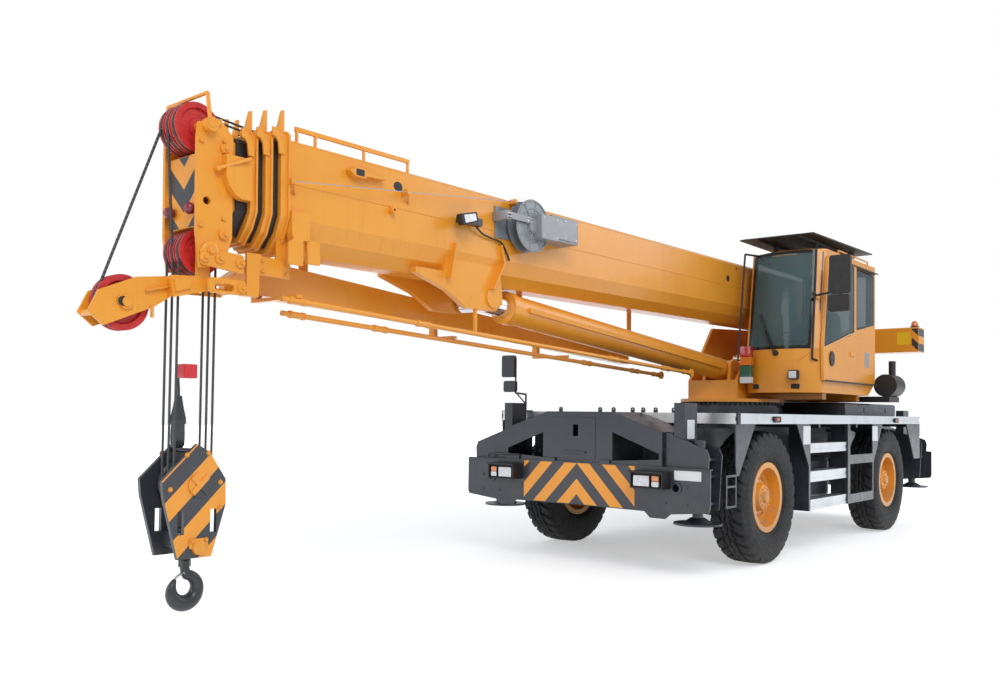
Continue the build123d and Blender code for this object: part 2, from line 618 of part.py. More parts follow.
def exhaust():
    """Muffler on the turret's left side behind the cab, with its stack."""
    x, y = CAB_REAR - 220, CAB_OUT + 100
    body = along(y, TURRET_FLOOR + 220, 150, x - 260, x + 120)
    body += upright(x - 180, y, 45, TURRET_FLOOR + 340, TURRET_FLOOR + 560)
    shelf = block((x - 280, x + 140), (TURRET_PLATE_Y + TURRET_PLATE_T + GAP, y + 60),
                  (TURRET_FLOOR + GAP, TURRET_FLOOR + 72))
    return body + shelf


# Height and front of the cab's straight sides
CAB_FRONTS = ((CAB_FLOOR, 340), (CAB_SILL, 352), (CAB_EAVES, 176))


# Cab
def cab_section(z, front, wall):
    """The cab's plan outline at one height, with its curved front."""
    rear, inner, outer = CAB_REAR + wall, CAB_IN + wall, CAB_OUT - wall
    sides = Polyline((front - wall, outer), (rear, outer), (rear, inner), (front - wall, inner))
    arc = ThreePointArc((front - wall, inner), (front + CAB_BULGE - wall, CAB_MIDDLE), (front - wall, outer))
    return Pos(0, 0, z) * make_face(sides + arc)


def cab_volume(wall, floor, top):
    """The cab's outer or inner body between two heights."""
    low, eaves = CAB_FRONTS[0][1], CAB_FRONTS[2][1]
    levels = [(CAB_FLOOR + floor, low), CAB_FRONTS[1], (CAB_EAVES + top, eaves - top * 0.15)]
    return loft([cab_section(z, front, wall) for z, front in levels], ruled=True)


def cab_shell():
    shell = cab_volume(0, 0, 0) - cab_volume(CAB_WALL, -1, 1)
    high = CAB_EAVES - 30
    screen = [(CAB_IN + 48, CAB_SILL + 18), (CAB_OUT - 70, CAB_SILL + 18), (CAB_OUT - 62, high),
              (CAB_IN + 62, high)]
    shell -= cross_plate(screen, 0, 700)
    back = [(CAB_IN + 110, CAB_SILL + 170), (CAB_OUT - 110, CAB_SILL + 170), (CAB_OUT - 110, high - 40),
            (CAB_IN + 110, high - 40)]
    shell -= cross_plate(back, CAB_REAR - 1, CAB_REAR + CAB_WALL + 1)
    door_low, door_top = CAB_FLOOR + 58, RAIL_HIGH_Z - 34
    doorway = [(DOOR_REAR + 30, door_low), (300, door_low), (312, CAB_SILL), (152, door_top),
               (DOOR_REAR + 30, door_top)]
    quarter = [(DOOR_REAR - 108, RAIL_HIGH_Z - 22), (CAB_REAR + 68, RAIL_HIGH_Z - 22),
               (CAB_REAR + 68, CAB_SILL + 422), (DOOR_REAR - 108, CAB_SILL + 327)]
    for outline in (doorway, quarter):
        shell -= side_plate(outline, CAB_OUT - CAB_WALL - 1, CAB_OUT + 1)
    far = [(CAB_REAR + 130, CAB_SILL + 120), (230, CAB_SILL + 120), (100, high - 20),
           (CAB_REAR + 130, high - 20)]
    shell -= side_plate(far, CAB_IN - 1, CAB_IN + CAB_WALL + 1)
    floor = cab_volume(CAB_WALL - 1, 0, 0) & block((CAB_REAR, 1000), (CAB_IN, CAB_OUT),
                                                   (CAB_FLOOR, CAB_FLOOR + CAB_FLOOR_T))
    corner = [(CAB_REAR - 120, CAB_FLOOR - 110), (CAB_REAR + 270, CAB_FLOOR - 110),
              (CAB_REAR + 270, CAB_FLOOR + 3), (CAB_REAR - 120, CAB_FLOOR + 260)]
    return shell + floor - side_plate(corner, CAB_IN - 1, CAB_OUT + 1)


def cab_roof():
    eaves = CAB_FRONTS[2][1]
    levels = ((CAB_EAVES + GAP, eaves, 0), (CAB_ROOF - 22, eaves - 4, 0), (CAB_ROOF, eaves - 40, 45))
    roof = loft([cab_section(z, front, wall) for z, front, wall in levels], ruled=True)
    low = CAB_ROOF + 30
    bar = block((CAB_REAR + 140, -340), (CAB_OUT - 60, CAB_OUT - 44), (low, low + 16))
    for x in (CAB_REAR + 140, -860, -356):
        bar += block((x, x + 16), (CAB_OUT - 60, CAB_OUT - 44), (CAB_ROOF - 10, low + 8))
    return roof + bar


def cab_door():
    y0 = CAB_OUT + 6
    low, high = RAIL_LOW_Z + 4 + GAP, RAIL_HIGH_Z + 9 - GAP
    outline = [(DOOR_REAR, low), (365, low), (388, CAB_SILL + 20), (224, high), (DOOR_REAR, high)]
    glass = [(-650, CAB_SILL + 262), (-580, CAB_SILL + 245), (338, CAB_SILL + 32), (184, high - 34),
             (-650, high - 34)]
    door = side_plate(outline, y0, y0 + DOOR_T) - side_plate(glass, y0 - 1, y0 + DOOR_T + 1)
    y1 = y0 + DOOR_T
    door += block((-640, -510), (y1 - 1, y1 + 14), (CAB_SILL - 40, CAB_SILL + 10))
    return door


def cab_rails():
    y0, y1 = CAB_OUT, CAB_OUT + 50
    rails = []
    for z, front, cut in ((RAIL_LOW_Z, 320, (4, 15)), (RAIL_HIGH_Z, 150, (-1, 9))):
        rail = block((CAB_REAR + 20, front), (y0 + GAP, y1), (z, z + 14))
        rails.append(rail - block((CAB_REAR + 19, front + 1), (y0 + 4, y1 - 9), (z + cut[0], z + cut[1])))
    return joined(rails)


def cab_seat():
    y, pan = CAB_MIDDLE, CAB_FLOOR + 338
    base = block((-900, -560), (y - 170, y + 170), (CAB_FLOOR + CAB_FLOOR_T + GAP, pan))
    cushion = block((-980, -430), (y - 250, y + 250), (pan, pan + 120))
    rest = [(-980, pan + 90), (-860, pan + 90), (-1010, pan + 780), (-1110, pan + 780)]
    back = side_plate(rest, y - 230, y + 230)
    return base + cushion + back


def cab_console():
    y, top = CAB_MIDDLE, CAB_FLOOR + 658
    floor = CAB_FLOOR + CAB_FLOOR_T + GAP
    pods = joined(block((-950, -450), span, (floor, top - 90))
                  for span in ((y - 360, y - 270), (y + 270, y + 360)))
    column = side_plate([(60, floor), (190, floor), (60, top - 20), (-60, top - 50)], y - 90, y + 90)
    turn = Pos(-40, y, top) * Rot(0, -30, 0)
    wheel = turn * Torus(190, 16) + turn * Box(30, 370, 16) + strut((-45, y, top + 10), (20, y, top - 90), 28)
    return pods + column + wheel


def cab_mirrors():
    """Front guard bars, mirrors, signal lamps and the work lamp on the cab's front."""
    near = strut((238, CAB_OUT - 102, CAB_EAVES - 4), (250, CAB_OUT - 96, CAB_EAVES + 30), 12)
    near += strut((250, CAB_OUT - 96, CAB_EAVES + 30), (440, CAB_OUT - 74, CAB_SILL - 120), 12)
    near += strut((440, CAB_OUT - 74, CAB_SILL - 120), (372, CAB_OUT - 40, CAB_SILL - 140), 12)
    far = strut((220, CAB_IN + 80, CAB_EAVES + 20), (370, CAB_IN - 20, CAB_EAVES + 30), 12)
    far += strut((370, CAB_IN - 20, CAB_EAVES + 30), (560, CAB_IN - 20, CAB_SILL - 120), 12)
    far += strut((560, CAB_IN - 20, CAB_SILL - 120), (380, CAB_IN + 100, CAB_SILL - 140), 12)
    x = 440
    arm = strut((345, CAB_OUT - 84, 2960), (x, 1420, 2972), 12)
    middle = MIRROR_OUT - 128
    arm += strut((x, 1420, 2972), (x, middle, 2972), 10) + strut((x, middle, 2760), (x, middle, 3380), 11)
    inside = MIRROR_OUT - 246
    heads = block((x + 4, x + 52), (inside, MIRROR_OUT), (2950, 3395))
    heads += block((x + 4, x + 60), (inside - 9, MIRROR_OUT - 9), (2744, 2938))
    heads = fillet(heads.edges().filter_by(Axis.X), 28)
    stack = block((472, 530), (CAB_IN + 10, CAB_IN + 130), (1930, 2370))
    stack += joined(along(CAB_IN + 70, z, 44, 529, 552) for z in (1990, 2095, 2205, 2315))
    stack += block((405, 473), (CAB_IN + 40, CAB_IN + 90), (2100, 2240))
    work = block((500, 560), (CAB_OUT - 312, CAB_OUT - 212), (1970, 2070)) + block(
        (425, 501), (CAB_OUT - 280, CAB_OUT - 250), (2005, 2035))
    return near + far + arm + heads + stack + work - cab_volume(-GAP, -1, CAB_ROOF - CAB_EAVES + 1)


def sunshade():
    outline = [(CAB_REAR + 204, CAB_IN - 20), (520, CAB_IN - 20), (540, CAB_IN + 60), (488, CAB_OUT - 40),
               (CAB_REAR + 204, CAB_OUT + 30)]
    plate = flat_plate(outline, SHADE_Z, SHADE_Z + 14)
    plate += block((CAB_REAR + 204, 480), (CAB_IN + 200, CAB_IN + 225), (SHADE_Z - 24, SHADE_Z + 1))
    plate += block((CAB_REAR + 204, 480), (CAB_OUT - 225, CAB_OUT - 200), (SHADE_Z - 24, SHADE_Z + 1))
    for x in (CAB_REAR + 280, CAB_REAR + 1560):
        for y in (CAB_IN + 212, CAB_OUT - 212):
            plate += block((x - 20, x + 20), (y - 20, y + 20), (CAB_ROOF + GAP, SHADE_Z))
    return plate


# Boom
def boom_outline(inset, grow=0):
    """Half of a section's outline: flat top, upright side, then the bent lower plates."""
    w = BOOM_HALF_W - inset + grow
    top = BOOM_TOP - inset + grow
    low = BOOM_BOTTOM + inset - grow
    half = [(w - 30, top), (w, top - 30), (w, BOOM_BEND), (w * 0.78, low + 95), (w * 0.40, low)]
    return half + [(-y, z) for y, z in reversed(half)]


def boom_tube(inset, rear, front):
    return cross_plate(boom_outline(inset), rear, front) - cross_plate(
        boom_outline(inset + BOOM_WALL), rear - 1, front + 1)


def boom_collar(inset, front, depth):
    """A thin flange and a lower ring at a section's mouth, pointed fins on top, a latch plate."""
    bore = cross_plate(boom_outline(inset + BOOM_WALL), front - depth - 1, front + 1)
    ring = cross_plate(boom_outline(inset, COLLAR_RISE - 16), front - depth, front) - bore
    ring += cross_plate(boom_outline(inset, COLLAR_RISE), front - depth, front - depth + 15) - bore
    rear, top = front - depth - 11, BOOM_TOP - inset
    tip = top + FIN_RISE
    fin = [(rear, top - 2), (rear, tip), (rear + 14, tip), (rear + 40, top + 95), (rear + 75, top + 52),
           (rear + 94, top + 42), (rear + 94, top + COLLAR_RISE - 20), (front, top + COLLAR_RISE - 20),
           (front, top)]
    w = BOOM_HALF_W - inset
    fins = both_sides(side_plate(fin, w - 78, w - 48))
    high, low = top + 42, top - 128
    latch = [(front - 22, low), (front - 16, low + 60), (front + 6, low + 118), (front + 44, high - 14),
             (front + 76, high), (front + 76, high - 58), (front + 50, high - 66), (front + 30, high - 96),
             (front + 22, low)]
    return ring + fins + side_plate(latch, w + COLLAR_RISE - 18, w + COLLAR_RISE - 4)


# Rear and front station of each telescoping section, and its collar's depth
SECTIONS = ((350, 9500, 65), (500, 9605, 48), (650, 9705, 48), (800, HEAD_REAR + 14, 0))


def boom_section(index):
    rear, front, depth = SECTIONS[index]
    inset = index * SECTION_STEP
    body = boom_tube(inset, rear, front)
    slack = SECTION_STEP - BOOM_WALL - GAP
    pad_half = (BOOM_HALF_W - inset) * 0.36
    if index:
        top = BOOM_TOP - inset
        body += block((rear, rear + PAD_LEN), (-pad_half, pad_half), (top - 1, top + slack))
    if depth:
        body += boom_collar(inset, front, depth)
        low = BOOM_BOTTOM + inset + BOOM_WALL
        body += block((front - PAD_LEN, front), (-pad_half * 0.8, pad_half * 0.8), (low - 1, low + slack))
    return body


def boom_base():
    body = boom_section(0)
    wide = BOOM_HALF_W
    foot = side_plate([(-150, -90), (150, -160), (700, BOOM_BOTTOM + 60), (700, 300), (350, 300), (150, 160),
                       (-150, 90)], wide - BOOM_WALL, wide + 8)
    body += both_sides(foot) + across(0, 0, 130, -wide, wide)
    body -= across(0, 0, PIVOT_R + RUN, -wide - 20, wide + 20)
    body += block((352, 380), (-wide + 5, wide - 5), (0, 400))
    ear = [(LIFT_EYE_S + 955, BOOM_BOTTOM - 4), (LIFT_EYE_S + 600, BOOM_BOTTOM - 110),
           (LIFT_EYE_S + 360, LIFT_EYE_H - 116), (LIFT_EYE_S + 180, LIFT_EYE_H - 118),
           (LIFT_EYE_S - 20, LIFT_EYE_H - 112), (LIFT_EYE_S - 110, LIFT_EYE_H - 40),
           (LIFT_EYE_S - 60, BOOM_BEND), (LIFT_EYE_S + 580, BOOM_BEND + 60),
           (LIFT_EYE_S + 640, BOOM_BOTTOM + 40), (LIFT_EYE_S + 955, BOOM_BOTTOM + 40)]
    flanges = (((553, -59), (621, -351), (606, -351), (538, -59)), ((-15, -2), (-53, -159), (88, -388),
                                                                     (70, -395), (-72, -162), (-30, 0)))
    bracket = side_plate(ear, wide - 85, wide - 30)
    bracket += joined(side_plate([(LIFT_EYE_S + s, h) for s, h in flange], wide - 40, wide + 34)
                      for flange in flanges)
    body += both_sides(bracket) - cross_plate(boom_outline(BOOM_WALL), LIFT_EYE_S - 200, LIFT_EYE_S + 1000)
    body += block((LIFT_EYE_S + 300, LIFT_EYE_S + 955), (-90, 90), (BOOM_BOTTOM - 8, BOOM_BOTTOM + 1))
    return body + both_sides(across(LIFT_EYE_S + 25, LIFT_EYE_H, 92, wide - 31, wide - 12))


def boom_fittings():
    """Cable reel, control box, lamp, fairlead, hanger and top rail on the base section's left."""
    w = BOOM_HALF_W + GAP
    reel = spun([(-52, 0), (-52, 225), (-40, 225), (-40, 120), (40, 120), (40, 225), (52, 225), (52, 0)],
                6914, w + 90, 195)
    reel += along(w + 90, 195, 24, 6914 - 12, 6914 + 12) + block((6810, 7270), (w, w + 12), (60, 330))
    reel += across(6914, 195, 40, w + 1, w + 60)
    box = block((6300, 6700), (w, w + 190), (100, 323))
    lamp = block((7535, 7784), (w + 30, w + 100), (100, 160)) + block((7600, 7640), (w, w + 31), (110, 150))
    lead = side_plate([(8926, 297), (8877, 332), (8775, 332), (8775, 315), (8580, 306), (8580, 288),
                       (8775, 279), (8775, 262), (8877, 262)], w, w + 55)
    guide = across(8479, 86, 26, w, w + 46) - across(8479, 86, 12, w - 1, w + 47)
    hanger = side_plate([(9283, -81), (9432, -81), (9432, -225), (9420, -270), (9283, -270)], w, w + 60)
    leg = side_plate([(9337, -269), (9420, -269), (9461, -300), (9461, -444), (9337, -444)], w + 42, w + 60)
    clip = side_plate([(9168, -255), (9284, -255), (9284, -275), (9270, -417), (9168, -417)], w, w + 28)
    top = BOOM_TOP + GAP
    rail = block((8245, 9333), (w - 60, w - 42), (top + 80, top + 110))
    for s in (8250, 8700, 9150, 9310):
        rail += block((s, s + 16), (w - 60, w - 42), (top, top + 81))
    return joined((reel, box, lamp, lead, guide, hanger + leg + clip, rail))


def boom_head():
    inner = BOOM_HALF_W - 3 * SECTION_STEP
    outer = inner + GAP + HEAD_PLATE_T
    outline = [(HEAD_REAR - 4, 340), (HEAD_REAR + 74, 420), (HEAD_FACE - 2, 390), (HEAD_FACE + 8, 300),
               (HEAD_FACE + 8, -300), (HEAD_FACE - 5, -412), (HEAD_FACE - 21, -528), (9880, -500),
               (9845, -383), (HEAD_REAR - 2, -313)]
    plate = side_plate(outline, inner + GAP, outer) - across(10010, -100, 26, inner, outer + 1)
    front = block((10020, 10045), (-inner - 1, inner + 1), (-262, 205))
    shafts = across(LOWER_SHEAVE_S, LOWER_SHEAVE_H, HEAD_SHAFT_R, -inner - 60, inner + 60)
    shafts += across(UPPER_SHEAVE_S, UPPER_SHEAVE_H, HEAD_SHAFT_R, -inner - 85, inner + 85)
    boss = across(UPPER_SHEAVE_S - 3, UPPER_SHEAVE_H - 5, 45, outer - 1, outer + 55)
    boss += side_plate([(9916, 400), (9916, 436), (10020, 405), (10010, 350)], outer - 1, outer + 14)
    boss += strut((10009, outer + 30, 377), (10032, outer + 30, 575), 13)
    lamp = Pos(10080, 0, -150) * Sphere(38) + along(0, -150, 14, 10044, 10050)
    guard = across(10034, 572, 12, -outer - 30, outer + 30)
    side_box = side_plate([(9714, -63), (9714, 209), (9906, 209), (9906, 70), (9884, 10), (9840, -40),
                           (9790, -63)], outer - 1, outer + 58)
    arm = strut((9953, outer + 36, 110), (9742, outer + 84, 205), 12)
    arm += across(9953, 110, 16, outer - 1, outer + 46) + across(9760, 197, 14, outer + 50, outer + 84)
    cheeks = both_sides(plate + boss + Pos(0, 120, 0) * lamp)
    return cheeks + front + shafts + guard + side_box + arm


def head_sheaves():
    wheels = []
    for y in (-FALL_PITCH, 0, FALL_PITCH):
        for s, h, radius in ((LOWER_SHEAVE_S, LOWER_SHEAVE_H, SHEAVE_R),
                             (UPPER_SHEAVE_S, UPPER_SHEAVE_H, UPPER_SHEAVE_R)):
            wheels.append(sheave(s, y, h, radius, FALL_PITCH - 14, HEAD_SHAFT_R))
    wheels.append(sheave(NOSE_SHEAVE_S, 0, NOSE_SHEAVE_H, NOSE_SHEAVE_R, FALL_PITCH, HEAD_SHAFT_R))
    return joined(wheels)


def nose():
    """The short nose under the head: a wide rear pair of plates, a cross plate and a narrow front pair."""
    y0, y1 = NOSE_HALF - NOSE_PLATE_T, NOSE_HALF
    rear = [(9950, -570), (10215, -589), (10196, -724), (9950, -662)]
    link = [(10090, -600), (10200, -612), (10190, -690), (10090, -660)]
    side = side_plate(rear, y0, y1) + side_plate(link, y1 - 1, y1 + 14)
    side += side_plate([(9950, -570), (10040, -576), (10040, -370), (9950, -370)], y0, y1)
    side += side_plate([(9640, -600), (10000, -600), (10000, -665), (9687, -660)], y0, y1)
    side -= side_plate([(9825, -622), (9959, -622), (9959, -645), (9825, -645)], y0, y1)
    side -= across(LOWER_SHEAVE_S, LOWER_SHEAVE_H, HEAD_SHAFT_R + GAP, y0 - 1, y1 + 1)
    cross = across(9700, -632, 18, -y0 - 1, y0 + 1) + block((10180, 10196), (-y1, y1), (-715, -592))
    f0, f1 = NOSE_TIP_HALF - NOSE_FRONT_T, NOSE_TIP_HALF
    tip = [(10181, -586), (10402, -615), (NOSE_TIP_S - 64, -714), (NOSE_TIP_S, -845),
           (NOSE_TIP_S - 95, -923), (10286, -789), (10181, -722)]
    front = side_plate(tip, f0, f1) + across(NOSE_SHEAVE_S, NOSE_SHEAVE_H, 45, f0, f1 + 14)
    front += side_plate([(10200, -662), (10200, -650), (10345, -687), (10345, -699)], f1 - 1, f1 + 22)
    front += strut((10300, f1 + 8, -780), (10300, f1 + 8, -855), 11)
    cross += joined(across(s, h, r, -f0 - 1, f0 + 1) for s, h, r in ((10660, -848, 20), (10255, -690, 20)))
    shaft = across(NOSE_SHEAVE_S, NOSE_SHEAVE_H, HEAD_SHAFT_R, -f1 - 22, f1 + 22)
    return both_sides(side + front) + cross + shaft


def jib_section(s, y, top, low, width):
    """A cross-section of the stowed jib at a boom station."""
    half = width / 2
    return Plane((s, 0, 0), x_dir=(0, 1, 0), z_dir=(1, 0, 0)) * make_face(
        Polyline((y - half, low), (y + half, low), (y + half, top), (y - half, top), close=True))


# Station, middle in Y, top, bottom and width of the stowed jib along the boom
JIB = ((9390, -265, -350, -605, 190), (7050, -460, -492, -672, 180), (3600, -760, -715, -865, 130))
# Station of each jib hanger, and its depth under the boom
HANGERS = ((8900, 90), (6300, 220), (4300, 340))
# Start and end of the two pendant rods, in boom station, Y and height
RODS = (((9435, 200, -664), (5300, 200, -900)), ((9135, -200, -715), (4700, -200, -955)))
ROD_R = 20
ROD_TIES = (9300, 7300, 5600)


def jib_place(s):
    """The stowed jib's middle in Y and its underside at a boom station."""
    for (s0, y0, _, low0, _), (s1, y1, _, low1, _) in zip(JIB, JIB[1:]):
        if s >= s1:
            t = (s0 - s) / (s0 - s1)
            return y0 + t * (y1 - y0), low0 + t * (low1 - low0)
    return JIB[-1][1], JIB[-1][3]


def jib_beam():
    beam = loft([jib_section(*row) for row in JIB], ruled=True)
    side = -BOOM_HALF_W - GAP
    for s, drop in HANGERS:
        beam += block((s - 40, s + 40), (side - 12, side), (BOOM_BOTTOM - drop, BOOM_BEND + 60))
        low = BOOM_BOTTOM - drop
        beam += block((s - 40, s + 40), (jib_place(s)[0], side), (low - 12, low))
    return beam


def rod_height(rod, s):
    """Height of a pendant rod's middle at a boom station."""
    (s0, _, h0), (s1, _, h1) = rod
    return h0 + (s0 - s) / (s0 - s1) * (h1 - h0)


def jib_rods():
    """The pendant rods with the ties that hold them, clear of the lift cylinder's swing."""
    rods = joined(strut(start, end, ROD_R) for start, end in RODS)
    seats = joined(strut(start, end, ROD_R + GAP) for start, end in RODS)
    left, right = RODS
    for rod, stations in ((left, ROD_TIES[:1]), (right, ROD_TIES[1:])):
        for s in stations:
            low = rod_height(rod, s - 25) + ROD_R + GAP + 1
            y, jib_low = jib_place(s - 25)
            tie = block((s - 25, s + 25), (y - 30, rod[0][1] + 25), (low, low + 24))
            tie += block((s - 25, s + 25), (y - 30, y + 30), (low, jib_low - GAP))
            rods += tie - seats
    s, y = LIFT_EYE_S + 230, left[0][1]
    lug = block((s - 14, s + 14), (y - 12, y + 12), (rod_height(left, s), LIFT_EYE_H - 118 - GAP))
    return rods + (lug - seats)


# Lift cylinder, drawn along its own axis from the base pin
def lift_barrel():
    mouth = LIFT_LEN - BARREL_SHORT
    tube = along(0, 0, BARREL_R, 70, mouth) + along(0, 0, BARREL_R + 12, mouth - 90, mouth)
    tube += across(0, 0, 120, -EYE_HALF, EYE_HALF)
    tube += block((300, mouth - 200), (BARREL_R - 12, BARREL_R + 26), (-22, 22))
    tube -= across(0, 0, LIFT_PIN_R + RUN, -EYE_HALF - 1, EYE_HALF + 1)
    return tube - along(0, 0, LIFT_ROD_R + GAP, 300, LIFT_LEN)


def lift_rod():
    return along(0, 0, LIFT_ROD_R, 320, LIFT_LEN - 40) + across(LIFT_LEN, 0, 110, -EYE_HALF, EYE_HALF)


# Hook block, drawn in the carrier's frame because it hangs plumb
def hoist_ropes():
    return joined(upright(FALL_X + dx * (SHEAVE_R - 14), y, ROPE_R, BLOCK_PIN_Z + 30, FALL_Z - 30)
                  for y in (-FALL_PITCH, 0, FALL_PITCH) for dx in (-1, 1))


def hook_block():
    x, z = FALL_X, BLOCK_PIN_Z
    inner, outer = BLOCK_HALF_T - BLOCK_PLATE_T, BLOCK_HALF_T
    outline = [(x + 20, BLOCK_TOP), (x - 70, BLOCK_TOP - 50), (x - 190, z + 30), (x - 194, z - 130),
               (x - 94, BLOCK_LOW), (x + 140, BLOCK_LOW), (x + 242, z - 71), (x + 253, z + 35)]
    side = side_plate(outline, inner, outer)
    for slot in (x - 105, x + 122):
        side -= block((slot - 22, slot + 22), (inner - 1, outer + 1), (z - 305, z - 158))
    side += across(x, z, 78, outer - 1, outer + 9)
    for turn in (-45, 45):
        side += Pos(x, outer + 13, z) * Rot(0, turn, 0) * Box(150, 10, 34)
    body = both_sides(side) + across(x, z, BLOCK_SHAFT_R, -inner - 1, inner + 1)
    body += block((x - 70, x + 90), (-inner - 1, inner + 1), (BLOCK_LOW + 55, BLOCK_LOW + 155))
    body += across(x + 20, BLOCK_TOP - 45, 16, -inner - 1, inner + 1)
    return body - upright(x, 0, HOOK_TURN + 2, BLOCK_LOW, z - 250)


def block_sheaves():
    return joined(sheave(FALL_X, y, BLOCK_PIN_Z, SHEAVE_R, FALL_PITCH - 14, BLOCK_SHAFT_R)
                  for y in (-FALL_PITCH, 0, FALL_PITCH))


# Angle round the throat and thickness of the forged hook, from the neck to the tip
HOOK_BOW = ((100, 32), (140, 38), (180, 43), (220, 48), (260, 52), (300, 50), (335, 42), (370, 30), (402, 15))


def hook():
    x, z = FALL_X, HOOK_LOW + HOOK_PATH_R + HOOK_R + 6
    rings = []
    for angle, radius in HOOK_BOW:
        a = math.radians(angle)
        place = (x + HOOK_PATH_R * math.cos(a), 0, z + HOOK_PATH_R * math.sin(a))
        rings.append(Plane(place, x_dir=(0, 1, 0), z_dir=(-math.sin(a), 0, math.cos(a))) * Circle(radius))
    top = (x + HOOK_PATH_R * math.cos(math.radians(100)), 0, z + HOOK_PATH_R * math.sin(math.radians(100)))
    neck = strut((top[0] + 6, 0, top[2] - 6), (x, 0, BLOCK_LOW - 85), 31)
    low = BLOCK_LOW + 155 + GAP
    shank = upright(x, 0, HOOK_TURN, BLOCK_LOW - 100, low + 20) + upright(x, 0, 52, low, low + 35)
    return shank + neck + loft(rings, ruled=True) + upright(x, 0, 40, BLOCK_LOW - 60, BLOCK_LOW - 10)


WHEELS = (("front_left", 1, 1), ("front_right", 1, -1), ("rear_left", -1, 1), ("rear_right", -1, -1))
# Front face of the box at each beam's end
END_FACE = BOX_FACE - 45


def parts():
    """Every sub-part by its node's name."""
    made = {"chassis_frame": chassis_frame(), "deck": deck(), "deck_edging": deck_edging(),
            "engine_hood": engine_hood(), "engine": engine(), "slew_ring": slew_ring(),
            "axles": axle(HALF_WHEELBASE) + axle(-HALF_WHEELBASE),
            "skirts": both_sides(skirt()) + lane_guard(),
            "steps": both_sides(steps()), "tanks": both_sides(side_tank()),
            "outrigger_boxes": outrigger_box() + at_rear(outrigger_box()),
            "bumpers": bumper() + bumper_brackets() + at_rear(bumper()), "headlamps": headlamps()}
    for name, end, side in WHEELS:
        x = end * HALF_WHEELBASE
        made[name + "_knuckle"] = knuckle(x, side)
        made[name + "_tyre"] = tyre(x, side)
        made[name + "_rim"] = rim(x, side)
        beam, foot = outrigger_beam(side, END_FACE), jack(side)
        made[name + "_beam"] = beam if end > 0 else at_rear(beam)
        made[name + "_jack"] = foot if end > 0 else at_rear(foot)
    made["turret_frame"] = turret_frame()
    made["winches"] = winch(PIVOT_X - 360, 2180) + winch(PIVOT_X + 450, 2140)
    made["counterweight"] = counterweight()
    made["exhaust"] = exhaust()
    made["cab_shell"] = cab_shell()
    made["cab_roof"] = cab_roof()
    made["cab_door"] = cab_door()
    made["cab_rails"] = cab_rails()
    made["cab_seat"] = cab_seat()
    made["cab_console"] = cab_console()
    made["cab_mirrors"] = cab_mirrors()
    made["sunshade"] = sunshade()
    made["boom_base"] = BOOM_LOC * boom_base()
    for index, name in enumerate(("boom_section_2", "boom_section_3", "boom_tip"), start=1):
        made[name] = BOOM_LOC * boom_section(index)
    made["boom_head"] = BOOM_LOC * boom_head()
    made["head_sheaves"] = BOOM_LOC * head_sheaves()
    made["nose"] = BOOM_LOC * nose()
    made["jib"] = BOOM_LOC * (jib_beam() + jib_rods())
    made["boom_fittings"] = BOOM_LOC * boom_fittings()
    made["lift_barrel"] = LIFT_LOC * lift_barrel()
    made["lift_rod"] = LIFT_LOC * lift_rod()
    made["hoist_ropes"] = hoist_ropes()
    made["hook_block"] = hook_block()
    made["block_sheaves"] = block_sheaves()
    made["hook"] = hook()
    return made


os.makedirs("parts", exist_ok=True)
for node, solid in parts().items():
    export_step(Pos(-ORIGIN_X, -ORIGIN_Y, 0) * solid, f"parts/{node}.step")
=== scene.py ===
"""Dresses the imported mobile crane: finishes, glass, tread, ropes, lamps, stripes and small fittings."""

import logging
import math
from collections.abc import Callable, Sequence
from dataclasses import dataclass, field
from enum import Enum
from functools import partialmethod

import bmesh
import bpy
import numpy as np
from mathutils import Matrix, Vector


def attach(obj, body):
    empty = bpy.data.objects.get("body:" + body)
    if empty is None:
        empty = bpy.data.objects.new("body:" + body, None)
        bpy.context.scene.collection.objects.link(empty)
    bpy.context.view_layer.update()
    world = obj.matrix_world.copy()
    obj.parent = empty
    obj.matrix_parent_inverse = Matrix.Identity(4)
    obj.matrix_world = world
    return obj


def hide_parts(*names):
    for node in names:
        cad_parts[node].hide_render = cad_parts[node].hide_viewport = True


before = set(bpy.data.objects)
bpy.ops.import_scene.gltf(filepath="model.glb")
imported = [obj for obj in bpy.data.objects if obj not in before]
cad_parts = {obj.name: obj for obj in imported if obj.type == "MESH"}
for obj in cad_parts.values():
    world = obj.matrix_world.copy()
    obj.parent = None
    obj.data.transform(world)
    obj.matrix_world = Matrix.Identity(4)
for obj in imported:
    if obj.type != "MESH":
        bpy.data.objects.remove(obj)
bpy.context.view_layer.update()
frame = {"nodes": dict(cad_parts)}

LOG = logging.getLogger("crane")
Array = np.ndarray
Spot = tuple[float, float]
Point = tuple[float, float, float]
Outline = tuple[Spot, ...]
Put = Callable[..., Array]
Socket, Node, Material = bpy.types.NodeSocket, bpy.types.Node, bpy.types.Material
Piece = bpy.types.Object

# Driving places of the carrier frame, in millimetres, as the part's source has them
ORIGIN_X, ORIGIN_Y = 2414.1932, 112.5
PIVOT_X, PIVOT_Z = -2200.0, 3050.0
BOOM_DROP = math.radians(0.66)
TYRE_R, TYRE_W, BEAD_R = 685.0, 385.0, 322.0
HALF_TRACK, HALF_WHEELBASE = 1190.0, 1946.0
DECK_HALF, DECK_FRONT = 1445.0, 2900.0
BUMPER_FACE, BUMPER_LOW = 3457.0, 615.0
BEAM_X_LEFT, BEAM_X_RIGHT = 3250.0, 3085.0
CAB_REAR, CAB_IN, CAB_OUT = -1580.0, 370.0, 1300.0
CAB_FLOOR, CAB_SILL, CAB_EAVES, CAB_BULGE = 1812.0, 2330.0, 3510.0, 140.0
CAB_FRONTS = (340.0, 352.0, 176.0)  # front edge at the floor, the sill and the eaves
FALL_X, BLOCK_PIN_Z, BLOCK_HALF_T = 7782.557, 1042.0, 150.0
